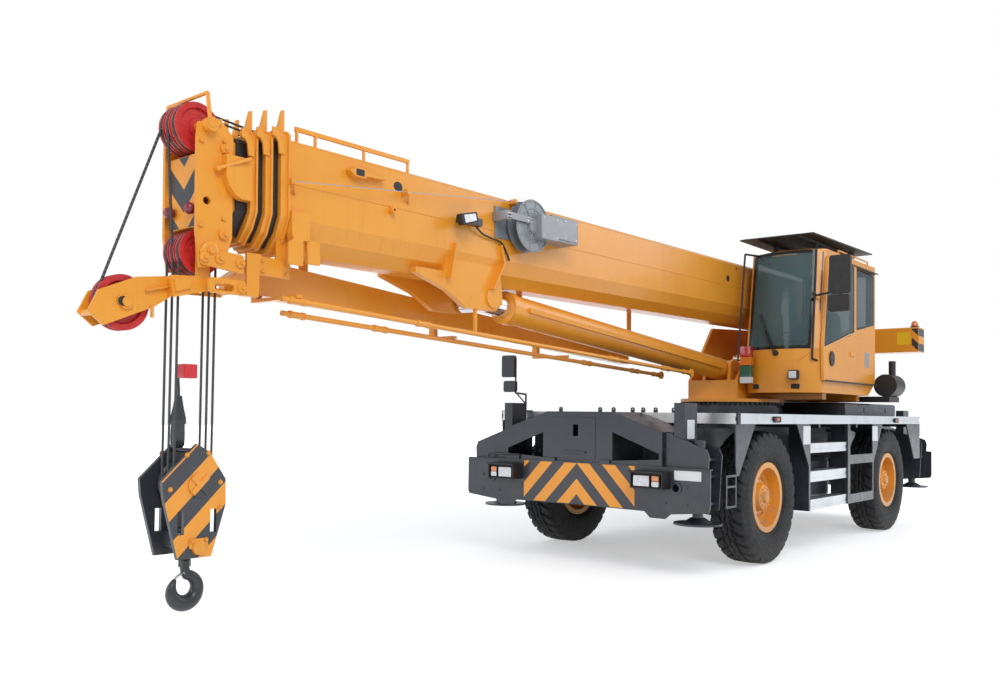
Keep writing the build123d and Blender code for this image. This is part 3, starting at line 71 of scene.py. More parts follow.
BOOM_HALF_W, BOOM_TOP, BOOM_BOTTOM, BOOM_BEND, SECTION_STEP = 250.0, 419.0, -335.0, -121.0, 25.0
LAMP_Y, DOOR_FACE = 882.0, 1338.0
UPPER_SHEAVE, UPPER_R, LOWER_SHEAVE, LOWER_R = (10012.0, 382.0), 162.0, (9988.0, -415.0), 145.0
NOSE_SHEAVE, NOSE_R, HEAD_FRONT = (10465.0, -773.0), 170.0, 10045.0
ROPE_R, ROPE_INSET, FALL_PITCH = 9.0, 8.0, 70.0
SIDES = ((1, "left"), (-1, "right"))
UP = (0, 0, 1)


def place(x: Array | float, y: Array | float, z: Array | float) -> Array:
    """Carrier-frame millimetres as row-frame metres, stacked on the last axis."""
    x, y, z = np.broadcast_arrays(np.asarray(x, float), np.asarray(y, float), np.asarray(z, float))
    return np.stack([(x - ORIGIN_X) / 1000, (y - ORIGIN_Y) / 1000, z / 1000], axis=-1)


def on_boom(s: Array | float, y: Array | float, h: Array | float) -> Array:
    """Boom station, Y and height as row-frame metres: a turn by the boom's droop about its foot pin.

    Args:
        s: Station along the boom from its foot pin.
        y: Distance across.
        h: Height over the foot pin, square to the boom.

    Returns:
        The places, stacked on the last axis.
    """
    s, y, h = np.broadcast_arrays(np.asarray(s, float), np.asarray(y, float), np.asarray(h, float))
    x = PIVOT_X + s * math.cos(BOOM_DROP) + h * math.sin(BOOM_DROP)
    z = PIVOT_Z - s * math.sin(BOOM_DROP) + h * math.cos(BOOM_DROP)
    return place(x, y, z)


def row_x(x: float) -> float:
    """A carrier-frame X in millimetres as row-frame metres, for a pattern on object coordinates."""
    return (x - ORIGIN_X) / 1000


def row_y(y: float) -> float:
    """A carrier-frame Y in millimetres as row-frame metres, for a pattern on object coordinates."""
    return (y - ORIGIN_Y) / 1000


# Finishes
def toned(colour: Point, share: float, lift: float = 0.0) -> Point:
    """A colour scaled by a share and lifted, with no channel past one."""
    return tuple(min(channel * share + lift, 1.0) for channel in colour)


class Graph:
    """A material's node graph, with short ways to add nodes and join them."""

    def __init__(self, name: str) -> None:
        """Starts an empty material.

        Args:
            name: The material's name.
        """
        self.material = bpy.data.materials.new(name)
        self.material.use_nodes = True
        self.tree = self.material.node_tree
        self.tree.nodes.clear()
        self.out = self.tree.nodes.new("ShaderNodeOutputMaterial")
        self.object_place = self.add("ShaderNodeTexCoord").outputs["Object"]
        self.shader = self.add("ShaderNodeBsdfPrincipled")

    def add(self, kind: str, **settings: object) -> Node:
        """Adds a node and sets its properties.

        Args:
            kind: The node's type.
            settings: Properties to set on it.

        Returns:
            The new node.
        """
        node = self.tree.nodes.new(kind)
        for key, value in settings.items():
            setattr(node, key, value)
        return node

    def put(self, socket: Socket, value: object) -> None:
        """Links an output to a socket, or writes a constant on it.

        Args:
            socket: The input.
            value: An output or a constant.
        """
        if isinstance(value, Socket):
            self.tree.links.new(value, socket)
        else:
            socket.default_value = value

    def step(self, kind: str, a: object, b: object = 0.0) -> Socket:
        """One arithmetic step.

        Args:
            kind: The operation.
            a: First number or output.
            b: Second number or output.

        Returns:
            The result's output.
        """
        node = self.add("ShaderNodeMath", operation=kind)
        self.put(node.inputs[0], a)
        self.put(node.inputs[1], b)
        return node.outputs[0]

    plus, minus = partialmethod(step, "ADD"), partialmethod(step, "SUBTRACT")
    times, over = partialmethod(step, "MULTIPLY"), partialmethod(step, "DIVIDE")
    above, below = partialmethod(step, "GREATER_THAN"), partialmethod(step, "LESS_THAN")

    def length(self, a: Socket, b: Socket) -> Socket:
        """The root of the sum of two squares."""
        return self.step("SQRT", self.plus(self.times(a, a), self.times(b, b)))

    def axes(self) -> tuple[Socket, ...]:
        """The three object coordinates as numbers.

        Returns:
            X, Y and Z in metres.
        """
        node = self.add("ShaderNodeSeparateXYZ")
        self.put(node.inputs[0], self.object_place)
        return tuple(node.outputs)

    def noise(self, scale: float, detail: float = 3.0, stretch: Point = (1, 1, 1)) -> Socket:
        """Cloudy noise in object coordinates, drawn out by a stretch.

        Args:
            scale: Features to a metre.
            detail: Octaves.
            stretch: Scale along each axis.

        Returns:
            A value about 0.5.
        """
        mapping = self.add("ShaderNodeMapping")
        mapping.inputs["Scale"].default_value = stretch
        self.put(mapping.inputs["Vector"], self.object_place)
        node = self.add("ShaderNodeTexNoise")
        self.put(node.inputs["Vector"], mapping.outputs[0])
        node.inputs["Scale"].default_value = scale
        node.inputs["Detail"].default_value = detail
        return node.outputs["Fac"]

    def ramp(self, value: object, low: float, high: float, to_low: float = 0.0,
             to_high: float = 1.0) -> Socket:
        """A straight change from one range to another, clamped.

        Args:
            value: The value that changes.
            low: Where the change starts.
            high: Where it ends.
            to_low: Result at the start.
            to_high: Result at the end.

        Returns:
            The clamped result.
        """
        node = self.add("ShaderNodeMapRange")
        self.put(node.inputs["Value"], value)
        for key, number in zip(("From Min", "From Max", "To Min", "To Max"), (low, high, to_low, to_high)):
            node.inputs[key].default_value = number
        return node.outputs[0]

    def cloud(self, scale: float, detail: float, low: float, high: float, to_low: float = 0.0,
              to_high: float = 1.0, stretch: Point = (1, 1, 1)) -> Socket:
        """Noise whose middle is spread over a range."""
        return self.ramp(self.noise(scale, detail, stretch), low, high, to_low, to_high)

    def mix(self, share: object, a: object, b: object) -> Socket:
        """Blends two colours.

        Args:
            share: Share of the second colour.
            a: First colour.
            b: Second colour.

        Returns:
            The blend.
        """
        node = self.add("ShaderNodeMix", data_type="RGBA")
        for key, value in ((0, share), (6, a), (7, b)):
            self.put(node.inputs[key], value if isinstance(value, (Socket, float)) else (*value, 1.0))
        return node.outputs[2]

    def bump(self, height: object, depth: float, strength: float = 1.0,
             normal: Socket | None = None) -> Socket:
        """A normal bent by a height of some metres.

        Args:
            height: Height from 0 to 1.
            depth: Metres that a height of one stands for.
            strength: Share of the effect.
            normal: A normal to start from.

        Returns:
            The bent normal.
        """
        node = self.add("ShaderNodeBump")
        node.inputs["Strength"].default_value = strength
        node.inputs["Distance"].default_value = depth
        self.put(node.inputs["Height"], height)
        if normal is not None:
            self.put(node.inputs["Normal"], normal)
        return node.outputs[0]

    def inside(self, low: Point, high: Point) -> Socket:
        """One within a box of object coordinates, and zero outside it.

        Args:
            low: The box's low corner.
            high: The box's high corner.

        Returns:
            The share, 0 or 1.
        """
        share: object = 1.0
        for axis, a, b in zip(self.axes(), low, high):
            within = self.times(self.above(axis, a), self.below(axis, b))
            share = self.times(within, share)
        return share

    def edge(self, radius: float) -> Socket:
        """A normal rounded over the piece's edges.

        Args:
            radius: Radius of the rounding in metres.

        Returns:
            The rounded normal.
        """
        node = self.add("ShaderNodeBevel", samples=4)
        node.inputs["Radius"].default_value = radius
        return node.outputs[0]

    def finish(self, colour: object, roughness: object, normal: object = None, **fixed: float) -> Material:
        """Closes the graph with a shader; fixed values go on its own sockets.

        Args:
            colour: Base colour.
            roughness: Roughness.
            normal: Normal, where it is bent.
            fixed: Values of other sockets, by name.

        Returns:
            The finished material.
        """
        shader = self.shader
        self.put(shader.inputs["Base Color"], colour if isinstance(colour, Socket) else (*colour, 1.0))
        self.put(shader.inputs["Roughness"], roughness)
        if normal is not None:
            self.put(shader.inputs["Normal"], normal)
        for key, value in fixed.items():
            shader.inputs[key.replace("_", " ")].default_value = value
        self.tree.links.new(shader.outputs[0], self.out.inputs["Surface"])
        return self.material


@dataclass(frozen=True)
class Paint:
    """Sprayed enamel on welded plate, with clouding, orange peel, rounded edges and road dust low down."""

    name: str
    colour: Point
    deep: Point
    gloss: float = 0.32
    dust: float = 0.0
    edge: float = 0.004
    coat: float = 0.25
    zones: tuple[tuple[Point, Point, Point], ...] = ()

    def build(self) -> Material:
        """Makes the node material.

        Returns:
            The material.
        """
        g = Graph(self.name)
        cloud = g.cloud(1.7, 4.0, 0.35, 0.65)
        colour = g.mix(g.times(cloud, 0.55), self.colour, self.deep)
        streak = g.cloud(3.0, 6.0, 0.56, 0.78, stretch=(4.0, 4.0, 0.35))
        colour = g.mix(g.times(streak, 0.16), colour, toned(self.deep, 0.55))
        if self.dust:
            z = g.axes()[2]
            low = g.ramp(z, 1.3, 0.35)
            speck = g.cloud(9.0, 8.0, 0.42, 0.68)
            share = g.times(g.times(low, speck), self.dust)
            colour = g.mix(share, colour, (0.30, 0.27, 0.22))
        for low, high, tint in self.zones:
            shade = g.mix(cloud, tint, toned(tint, 0.8))
            colour = g.mix(g.inside(low, high), colour, shade)
        rough = g.cloud(14.0, 5.0, 0.3, 0.7, self.gloss - 0.05, self.gloss + 0.10)
        normal = g.bump(g.noise(180.0, 2.0), 0.0004, 0.25, g.edge(self.edge))
        return g.finish(colour, rough, normal, Coat_Weight=self.coat, Coat_Roughness=0.12)


@dataclass(frozen=True)
class SheaveEnamel:
    """Red enamel on the sheaves, rubbed down to greasy brown where the rope lies."""

    name: str
    hubs: tuple[tuple[tuple[float, float], float], ...]
    pitch: float = 0.070

    def build(self) -> Material:
        """Makes the node material.

        A point lies in a groove where its distance from a hub is over 0.80 of that sheave's
        radius and its distance across from the lane's middle is under 17 mm.

        Returns:
            The material.
        """
        g = Graph(self.name)
        x, y, z = g.axes()
        lane = g.step("FRACT", g.plus(g.over(g.minus(y, row_y(0)), self.pitch), 0.5))
        off = g.step("ABSOLUTE", g.minus(lane, 0.5))
        rubbed: object = 0.0
        for (station, height), radius in self.hubs:
            hub_x, _, hub_z = on_boom(station, 0, height)
            dx, dz = g.minus(x, float(hub_x)), g.minus(z, float(hub_z))
            far = g.length(dx, dz)
            near = g.times(g.above(far, radius * 0.80e-3), g.below(far, radius * 1.05e-3))
            rubbed = g.step("MAXIMUM", near, rubbed)
        rubbed = g.times(rubbed, g.below(off, 0.017 / self.pitch))
        stain = g.cloud(30.0, 5.0, 0.3, 0.7)
        red = g.mix(stain, (0.62, 0.030, 0.030), (0.48, 0.018, 0.020))
        brown = g.mix(stain, (0.20, 0.070, 0.030), (0.10, 0.040, 0.022))
        rough = g.cloud(20.0, 4.0, 0.3, 0.7, 0.32, 0.48)
        normal = g.bump(g.noise(160.0, 2.0), 0.0004, 0.3, g.edge(0.003))
        return g.finish(g.mix(rubbed, red, brown), rough, normal)


@dataclass(frozen=True)
class Metal:
    """Bare or plated metal with fine drawn lines along one axis."""

    name: str
    colour: Point
    roughness: float
    stretch: Point = (2.0, 60.0, 60.0)
    shine: float = 1.0

    def build(self) -> Material:
        """Makes the node material.

        Returns:
            The material.
        """
        g = Graph(self.name)
        lines = g.noise(6.0, 4.0, self.stretch)
        stain = g.cloud(5.0, 6.0, 0.45, 0.75)
        colour = g.mix(g.times(stain, 0.35), self.colour, toned(self.colour, 0.62))
        rough = g.ramp(lines, 0.3, 0.7, self.roughness - 0.08, self.roughness + 0.14)
        return g.finish(colour, rough, g.bump(lines, 0.0006, 0.25, g.edge(0.002)), Metallic=self.shine)


@dataclass(frozen=True)
class Rubber:
    """Moulded rubber with a dusty bloom that gathers toward the ground."""

    name: str = "tyre rubber"

    def build(self) -> Material:
        """Makes the node material.

        Returns:
            The material.
        """
        g = Graph(self.name)
        bloom = g.cloud(6.0, 7.0, 0.42, 0.72)
        colour = g.mix(g.times(bloom, 0.5), (0.011, 0.011, 0.012), (0.034, 0.033, 0.031))
        low = g.ramp(g.axes()[2], 0.30, 0.0)
        colour = g.mix(g.times(low, 0.35), colour, (0.10, 0.09, 0.075))
        rough = g.cloud(30.0, 4.0, 0.3, 0.7, 0.62, 0.85)
        return g.finish(colour, rough, g.bump(g.noise(120.0, 4.0), 0.0012, 0.5))


@dataclass(frozen=True)
class Moulded:
    """Grained moulded plastic, or a woven seat cover where weave is set."""

    name: str
    colour: Point
    roughness: float = 0.5
    weave: bool = False

    def build(self) -> Material:
        """Makes the node material.

        Returns:
            The material.
        """
        g = Graph(self.name)
        cloud = g.cloud(4.0, 4.0, 0.35, 0.7)
        colour = g.mix(g.times(cloud, 0.5), self.colour, toned(self.colour, 1.7, 0.004))
        if self.weave:
            x, y, z = g.axes()
            warp = g.step("SINE", g.times(g.plus(y, z), 1900.0))
            weft = g.step("SINE", g.times(g.plus(x, z), 1900.0))
            height = g.times(warp, weft)
            return g.finish(colour, self.roughness, g.bump(height, 0.0009, 0.6), Sheen_Weight=0.3)
        grain = g.add("ShaderNodeTexVoronoi")
        grain.inputs["Scale"].default_value = 420.0
        g.put(grain.inputs["Vector"], g.object_place)
        rough = g.cloud(20.0, 4.0, 0.3, 0.7, self.roughness - 0.08, self.roughness + 0.1)
        return g.finish(colour, rough, g.bump(grain.outputs["Distance"], 0.0006, 0.3, g.edge(0.003)))


@dataclass(frozen=True)
class Pane:
    """Tinted safety glass with a dark band baked on round its edge, from the pane's own map."""

    name: str
    tint: Point = (0.07, 0.12, 0.125)
    clear: float = 0.50
    band: float = 0.035

    def build(self) -> Material:
        """Makes the node material: U runs from 0 at the rim to 1 in the middle.

        Returns:
            The material.
        """
        g = Graph(self.name)
        uv = g.add("ShaderNodeUVMap", uv_map="map")
        split = g.add("ShaderNodeSeparateXYZ")
        g.put(split.inputs[0], uv.outputs[0])
        rim = g.ramp(split.outputs[0], self.band, self.band + 0.006, 1.0, 0.0)
        film = g.cloud(1.1, 3.0, 0.3, 0.75, stretch=(1.0, 1.0, 0.4))
        tinted = g.mix(g.times(film, 0.6), self.tint, toned(self.tint, 1.9))
        colour = g.mix(rim, tinted, (0.012, 0.013, 0.015))
        alpha = g.step("MAXIMUM", rim, g.ramp(film, 0.0, 1.0, self.clear - 0.08, self.clear + 0.12))
        material = g.finish(colour, g.cloud(8.0, 3.0, 0.3, 0.7, 0.03, 0.09), Specular_IOR_Level=0.35)
        g.put(g.shader.inputs["Alpha"], alpha)
        return material


class Slant(Enum):
    """How a warning stripe runs."""

    CHEVRON_UP = "chevron up"
    CHEVRON_DOWN = "chevron down"
    DIAGONAL = "diagonal"
    ACROSS = "across"


@dataclass(frozen=True)
class Stripes:
    """Two-colour warning stripes, worked out from object coordinates."""

    name: str
    slant: Slant
    pitch: float
    start: float
    slope: float = 1.0
    light: Point = (0.88, 0.34, 0.028)
    dark: Point = (0.035, 0.038, 0.045)
    skin: float = 0.0

    def build(self) -> Material:
        """Makes the node material: the stripe number is a height plus or minus a sideways distance.

        Returns:
            The material.
        """
        g = Graph(self.name)
        x, y, z = g.axes()
        across = g.step("ABSOLUTE", g.minus(y, row_y(0)))
        if self.slant is Slant.DIAGONAL:
            side = g.times(x, self.slope)
        elif self.slant is Slant.ACROSS:
            side = g.times(y, self.slope)
        else:
            side = g.times(across, self.slope if self.slant is Slant.CHEVRON_UP else -self.slope)
        lane = g.step("FRACT", g.over(g.minus(g.plus(z, side), self.start), self.pitch))
        is_dark = g.above(lane, 0.5)
        if self.skin:
            is_dark = g.step("MAXIMUM", is_dark, g.below(across, self.skin))
        cloud = g.times(g.cloud(6.0, 5.0, 0.4, 0.7), 0.3)
        light = g.mix(cloud, self.light, toned(self.light, 0.8))
        colour = g.mix(is_dark, light, self.dark)
        rough = g.cloud(20.0, 4.0, 0.3, 0.7, 0.30, 0.45)
        normal = g.bump(g.noise(200.0, 2.0), 0.0003, 0.25, g.edge(0.003))
        return g.finish(colour, rough, normal, Coat_Weight=0.2)


@dataclass(frozen=True)
class Rope:
    """Laid steel wire, with strands that wind round it."""

    name: str = "wire rope"
    turns: float = 70.0

    def build(self) -> Material:
        """Makes the node material: strands are slanted lines in object coordinates.

        Returns:
            The material.
        """
        g = Graph(self.name)
        x, y, z = g.axes()
        lay = g.step("SINE", g.times(g.plus(g.plus(z, x), g.times(y, 2.0)), self.turns * 2 * math.pi))
        # The colour follows the lay: darker in the grooves between strands and lighter on their crowns,
        # painted shade and highlight.
        colour = g.mix(g.ramp(lay, -1.0, 1.0), (0.02, 0.02, 0.02), (0.10, 0.10, 0.105))
        return g.finish(colour, 0.45, g.bump(lay, 0.002, 0.8), Metallic=0.6)


@dataclass(frozen=True)
class Lens:
    """Moulded lamp glass with fine ribs."""

    name: str
    colour: Point

    def build(self) -> Material:
        """Makes the node material.

        Returns:
            The material.
        """
        g = Graph(self.name)
        y = g.axes()[1]
        ribs = g.step("SINE", g.times(y, 700.0))
        shade = g.mix(g.cloud(40.0, 3.0, 0.3, 0.7), self.colour, toned(self.colour, 0.75))
        return g.finish(shade, 0.12, g.bump(ribs, 0.001, 0.4), Coat_Weight=1.0, Coat_Roughness=0.03)


ORANGE = (0.860, 0.345, 0.026)
ORANGE_DEEP = (0.780, 0.290, 0.018)
SLATE = (0.027, 0.031, 0.041)
SLATE_DEEP = (0.019, 0.023, 0.031)
GREY, DARK_GREY = (0.27, 0.29, 0.32), (0.05, 0.055, 0.06)
BEYOND = 9.0  # metres, past every piece
# Low corner, high corner and colour of a region with its own tint, in row-frame metres
CAB_LINING = ((row_x(CAB_REAR + 30), row_y(CAB_IN + 25), CAB_FLOOR / 1000 + 0.03),
              (row_x(305), row_y(CAB_OUT - 25), CAB_EAVES / 1000 - 0.003), DARK_GREY)
FITTING_ZONES = tuple(((row_x(PIVOT_X + rear), -BEYOND, 0.0), (row_x(PIVOT_X + front), BEYOND, BEYOND), tint)
                      for rear, front, tint in ((6250, 7300, GREY), (7480, 7830, (0.015, 0.015, 0.016))))
HEAD_ZONES = (((row_x(7847), row_y(-165), 2.735), (row_x(7925), row_y(165), 2.832), (0.22, 0.012, 0.02)),)


def made(recipe: object) -> Material:
    """A field that holds what its recipe builds."""
    return field(default_factory=recipe.build)


@dataclass
class Finishes:
    """Every finish of the crane, made once."""

    orange: Material = made(Paint("orange enamel", ORANGE, ORANGE_DEEP))
    rim_orange: Material = made(Paint("wheel enamel", ORANGE, (0.62, 0.22, 0.015), gloss=0.4, dust=0.6))
    slate: Material = made(Paint("slate enamel", SLATE, SLATE_DEEP, gloss=0.38, dust=0.06, coat=0.3))
    aluminium: Material = made(Metal("drawn aluminium", (0.66, 0.68, 0.70), 0.36))
    steel: Material = made(Metal("bright steel", (0.50, 0.50, 0.51), 0.35))
    chrome: Material = made(Metal("hard chrome", (0.80, 0.80, 0.82), 0.12))
    red: Material = made(Paint("red nylon", (0.70, 0.026, 0.035), (0.55, 0.015, 0.022), gloss=0.35,
                               edge=0.002))
    grey: Material = made(Paint("grey enamel", (0.30, 0.31, 0.33), (0.24, 0.25, 0.27)))
    black: Material = made(Moulded("black moulding", (0.012, 0.012, 0.013)))
    forged: Material = made(Paint("forged black", (0.018, 0.020, 0.024), (0.03, 0.032, 0.036), gloss=0.42))
    cover: Material = made(Moulded("seat weave", (0.02, 0.021, 0.024), 0.85, weave=True))
    rubber: Material = made(Rubber())
    rope: Material = made(Rope())
    glass: Material = made(Pane("tinted glass"))
    clear: Material = made(Lens("clear lens", (0.72, 0.74, 0.76)))
    amber: Material = made(Lens("amber lens", (0.85, 0.20, 0.01)))
    ruby: Material = made(Lens("red lens", (0.55, 0.012, 0.012)))
    emerald: Material = made(Lens("green lens", (0.0, 0.13, 0.075)))
    plate: Material = made(Paint("blank white plate", (0.78, 0.79, 0.80), (0.70, 0.71, 0.72), edge=0.001))
    yellow: Material = made(Paint("blank yellow plate", (0.90, 0.55, 0.02), (0.85, 0.50, 0.02), edge=0.001))
    cabin: Material = made(Paint("cab enamel", ORANGE, ORANGE_DEEP, zones=(CAB_LINING,)))
    fittings: Material = made(Paint("fittings enamel", ORANGE, ORANGE_DEEP, zones=FITTING_ZONES))
    head_paint: Material = made(Paint("head enamel", ORANGE, ORANGE_DEEP, zones=HEAD_ZONES))
    sheaves: Material = made(SheaveEnamel("sheave enamel", (
        (UPPER_SHEAVE, UPPER_R), (LOWER_SHEAVE, LOWER_R), (NOSE_SHEAVE, NOSE_R))))
    chevrons: Material = made(Stripes("bumper chevrons", Slant.CHEVRON_UP, 0.311, 1.03, 1.03))
    block: Material = made(Stripes("block stripes", Slant.DIAGONAL, 0.289, 0.1026, 0.96, skin=0.1485))
    head: Material = made(Stripes("head chevrons", Slant.CHEVRON_DOWN, 0.296, 2.925, 0.97))
    ends: Material = made(Stripes("counterweight stripes", Slant.ACROSS, 0.22, 0.0, 1.0))


# Meshes
def from_grid(name: str, points: Array, around: bool = False, along: bool = False,
              uv: Array | None = None) -> Piece:
    """Makes an object from a grid of points; a grid may be closed in either direction.

    Args:
        name: The object's name.
        points: Places in metres, shaped rows by columns by 3.
        around: Whether the last column joins the first.
        along: Whether the last row joins the first.
        uv: Optional map, shaped rows by columns by 2.

    Returns:
        The new object, with quads between neighbours.
    """
    rows, cols = points.shape[:2]
    i = np.arange(rows if along else rows - 1)[:, None]
    j = np.arange(cols if around else cols - 1)[None, :]
    a = i * cols + j
    b = i * cols + (j + 1) % cols
    c = ((i + 1) % rows) * cols + (j + 1) % cols
    d = ((i + 1) % rows) * cols + j
    faces = np.stack([a + 0 * j, b + 0 * i, c, d], axis=-1).reshape(-1, 4)
    name = name.replace(" ", "_")
    mesh = bpy.data.meshes.new(name)
    mesh.from_pydata(points.reshape(-1, 3), [], faces.tolist())
    if uv is not None:
        layer = mesh.uv_layers.new(name="map")
        loops = np.empty(len(mesh.loops), np.int32)
        mesh.loops.foreach_get("vertex_index", loops)
        layer.data.foreach_set("uv", uv.reshape(-1, 2)[loops].ravel())
    tidy(mesh)
    piece = bpy.data.objects.new(name, mesh)
    bpy.context.scene.collection.objects.link(piece)
    return piece


def tidy(mesh: bpy.types.Mesh, angle: float = 0.6) -> None:
    """Merges doubled points, points the faces outward and shades small turns smooth.

    Args:
        mesh: The mesh to mend.
        angle: Turn in radians past which an edge stays sharp.
    """
    bm = bmesh.new()
    bm.from_mesh(mesh)
    bmesh.ops.remove_doubles(bm, verts=bm.verts, dist=1e-5)
    bmesh.ops.dissolve_degenerate(bm, edges=bm.edges, dist=1e-6)
    bmesh.ops.recalc_face_normals(bm, faces=bm.faces)
    for face in bm.faces:
        face.smooth = True
    for edge in bm.edges:
        if len(edge.link_faces) == 2 and edge.calc_face_angle(0.0) > angle:
            edge.smooth = False
    bm.to_mesh(mesh)
    bm.free()
    mesh.update()


def merged(name: str, pieces: list[Piece]) -> Piece:
    """Joins pieces into one object that keeps their materials.

    Args:
        name: The piece's name.
        pieces: The objects to join.

    Returns:
        The joined object.
    """
    bpy.ops.object.select_all(action="DESELECT")
    for piece in pieces:
        piece.select_set(True)
    bpy.context.view_layer.objects.active = pieces[0]
    bpy.ops.object.join()
    whole = bpy.context.view_layer.objects.active
    whole.name = name.replace(" ", "_")
    return whole


def painted(piece: Piece, material: Material) -> Piece:
    """Gives a new piece its one finish.

    Args:
        piece: The new piece.
        material: Its finish.

    Returns:
        The same piece.
    """
    piece.data.materials.clear()
    piece.data.materials.append(material)
    return piece


def turned(name: str, profile: Sequence[Spot], centre: Point, axis: Point,
           steps: int = 48, put: Put | None = None) -> Piece:
    """A closed profile of (distance along the axis, radius), in millimetres, carried round an axis.

    The surface is centre + axis * d + radius * (first * cos t + second * sin t).

    Args:
        name: The piece's name.
        profile: Distances along the axis with their radii.
        centre: Where the distances start.
        axis: The axis's direction.
        steps: Points round the axis.
        put: Function from millimetres to row-frame metres; the carrier frame if left out.

    Returns:
        The turned piece.
    """
    d, r = np.array(profile, float).T
    t = np.linspace(0, 2 * math.pi, steps, endpoint=False)
    n = Vector(axis).normalized()
    first = n.orthogonal().normalized()
    second = n.cross(first)
    ring = np.outer(np.cos(t), first) + np.outer(np.sin(t), second)
    local = d[:, None, None] * np.array(n) + r[:, None, None] * ring[None]
    return from_grid(name, (put or place)(*centre) + local / 1000, around=True)


def rod(name: str, path: Array, radius: Array | float, steps: int = 12, closed_ends: bool = True) -> Piece:
    """A round section carried along a path of row-frame points.

    Each ring stands square to the path's direction there, worked out by central differences.

    Args:
        name: The piece's name.
        path: Places in row-frame metres.
        radius: One radius, or one for each place, in millimetres.
        steps: Points round the section.
        closed_ends: Whether the ends are capped.

    Returns:
        The rod.
    """
    path = np.asarray(path, float)
    run = np.gradient(path, axis=0)
    run /= np.linalg.norm(run, axis=1, keepdims=True)
    mean = np.abs(run.mean(0))
    helper = np.eye(3)[int(np.argmin(mean))]
    side = np.cross(run, helper)
    side /= np.linalg.norm(side, axis=1, keepdims=True)
    up = np.cross(side, run)
    t = np.linspace(0, 2 * math.pi, steps, endpoint=False)
    ring = side[:, None] * np.cos(t)[None, :, None] + up[:, None] * np.sin(t)[None, :, None]
    wide = np.broadcast_to(np.asarray(radius, float), len(path))[:, None, None]
    points = path[:, None] + ring * wide / 1000
    if closed_ends:
        caps = [np.repeat(path[k][None, None], steps, axis=1) for k in (0, -1)]
        points = np.concatenate([caps[0], points, caps[1]], axis=0)
    return from_grid(name, points, around=True)


def bow(points: Sequence[Point], count: int = 24) -> Array:
    """A smooth line through a few points: a Catmull-Rom curve worked out as whole arrays.

    Args:
        points: Places that the line passes through.
        count: Number of places on the line.

    Returns:
        The line's places.
    """
    p = np.array(points, float)
    p = np.vstack([2 * p[0] - p[1], p, 2 * p[-1] - p[-2]])
    t = np.linspace(0, len(p) - 3, count)
    k = np.minimum(t.astype(int), len(p) - 4)
    u = (t - k)[:, None]
    a, b, c, d = p[k], p[k + 1], p[k + 2], p[k + 3]
    return 0.5 * (2 * b + (c - a) * u + (2 * a - 5 * b + 4 * c - d) * u ** 2
                  + (3 * b - a - 3 * c + d) * u ** 3)


def rounded(corners: Sequence[Spot], radius: float, steps: int = 5) -> Array:
    """An outline with each corner cut by a quadratic curve that starts and ends a radius from it.

    Args:
        corners: The outline's corners in millimetres.
        radius: Length cut off at each corner.
        steps: Points on each corner's curve.

    Returns:
        The closed outline.
    """
    p = np.array(corners, float)
    back, ahead = np.roll(p, 1, axis=0) - p, np.roll(p, -1, axis=0) - p
    back *= radius / np.linalg.norm(back, axis=1, keepdims=True)
    ahead *= radius / np.linalg.norm(ahead, axis=1, keepdims=True)
    u = np.linspace(0, 1, steps)[None, :, None]
    start, mid, end = (p + back)[:, None], p[:, None], (p + ahead)[:, None]
    return ((1 - u) ** 2 * start + 2 * u * (1 - u) * mid + u ** 2 * end).reshape(-1, 2)


def slab(name: str, outline: Array, depth: float, spot: Put, soft: float = 1.0) -> Piece:
    """A plate: rings from its middle to a softened rim, down the side and back to the middle.

    Args:
        name: The object's name.
        outline: Closed outline in two millimetre coordinates.
        depth: Thickness in millimetres, away from the face.
        spot: Function from two outline coordinates and a depth to row-frame places.
        soft: Width of the softened edge in millimetres.

    Returns:
        The closed plate, with U in its map running from the rim (0) inward, in metres.
    """
    middle = outline.mean(0)
    reach = outline - middle
    size = np.linalg.norm(reach, axis=1, keepdims=True)
    inner = np.maximum(1 - soft / size, 0)
    shares = [0 * inner, 0.5 * inner, inner - np.minimum(60 / size, 0.4 * inner), inner, 1 + 0 * inner,
              1 + 0 * inner, inner, 0 * inner]
    depths = [0, 0, 0, 0, soft, max(depth - soft, soft), depth, depth]
    rings = np.stack([middle + reach * share for share in shares])
    deep = np.array(depths, float)[:, None] * np.ones(len(outline))
    rim = np.stack([(size * (1 - share))[:, 0] / 1000 for share in shares])
    uv = np.stack([rim, rim], axis=-1)
    return from_grid(name, spot(rings[..., 0], rings[..., 1], deep), around=True, uv=uv)


def link_plate(name: str, outer: Array, inner: Array, depth: float, spot: Put) -> Piece:
    """A plate with one opening: four loops, closed both ways, over two outlines of as many points.

    Args:
        name: The piece's name.
        outer: The plate's outline.
        inner: The opening's outline.
        depth: Thickness in millimetres.
        spot: Function from two outline coordinates and a depth to row-frame places.

    Returns:
        The plate.
    """
    rows = ((outer, 0.0), (outer, depth), (inner, depth), (inner, 0.0))
    loops = [spot(line[:, 0], line[:, 1], deep) for line, deep in rows]
    return from_grid(name, np.stack(loops), around=True, along=True)


def facing_x(x: float, way: int = 1) -> Put:
    """Spot function for a plate that faces forward, or rearward at -1, with its outline in Y and Z."""
    return lambda a, b, c: place(x - way * c, a, b)


def facing_y(y: float, side: int = 1) -> Put:
    """Spot function for a plate that faces sideways, with its outline in X and Z."""
    return lambda a, b, c: place(a, side * (y - c), b)


def boom_side(y: float, side: int = 1) -> Put:
    """Spot function for a plate on the boom's side, with its outline in station and height."""
    return lambda a, b, c: on_boom(a, side * (y - c), b)


def square(low: Spot, high: Spot, radius: float = 4.0) -> Array:
    """A rectangle's outline with rounded corners."""
    (a, b), (c, d) = low, high
    return rounded([(a, b), (c, b), (c, d), (a, d)], radius)


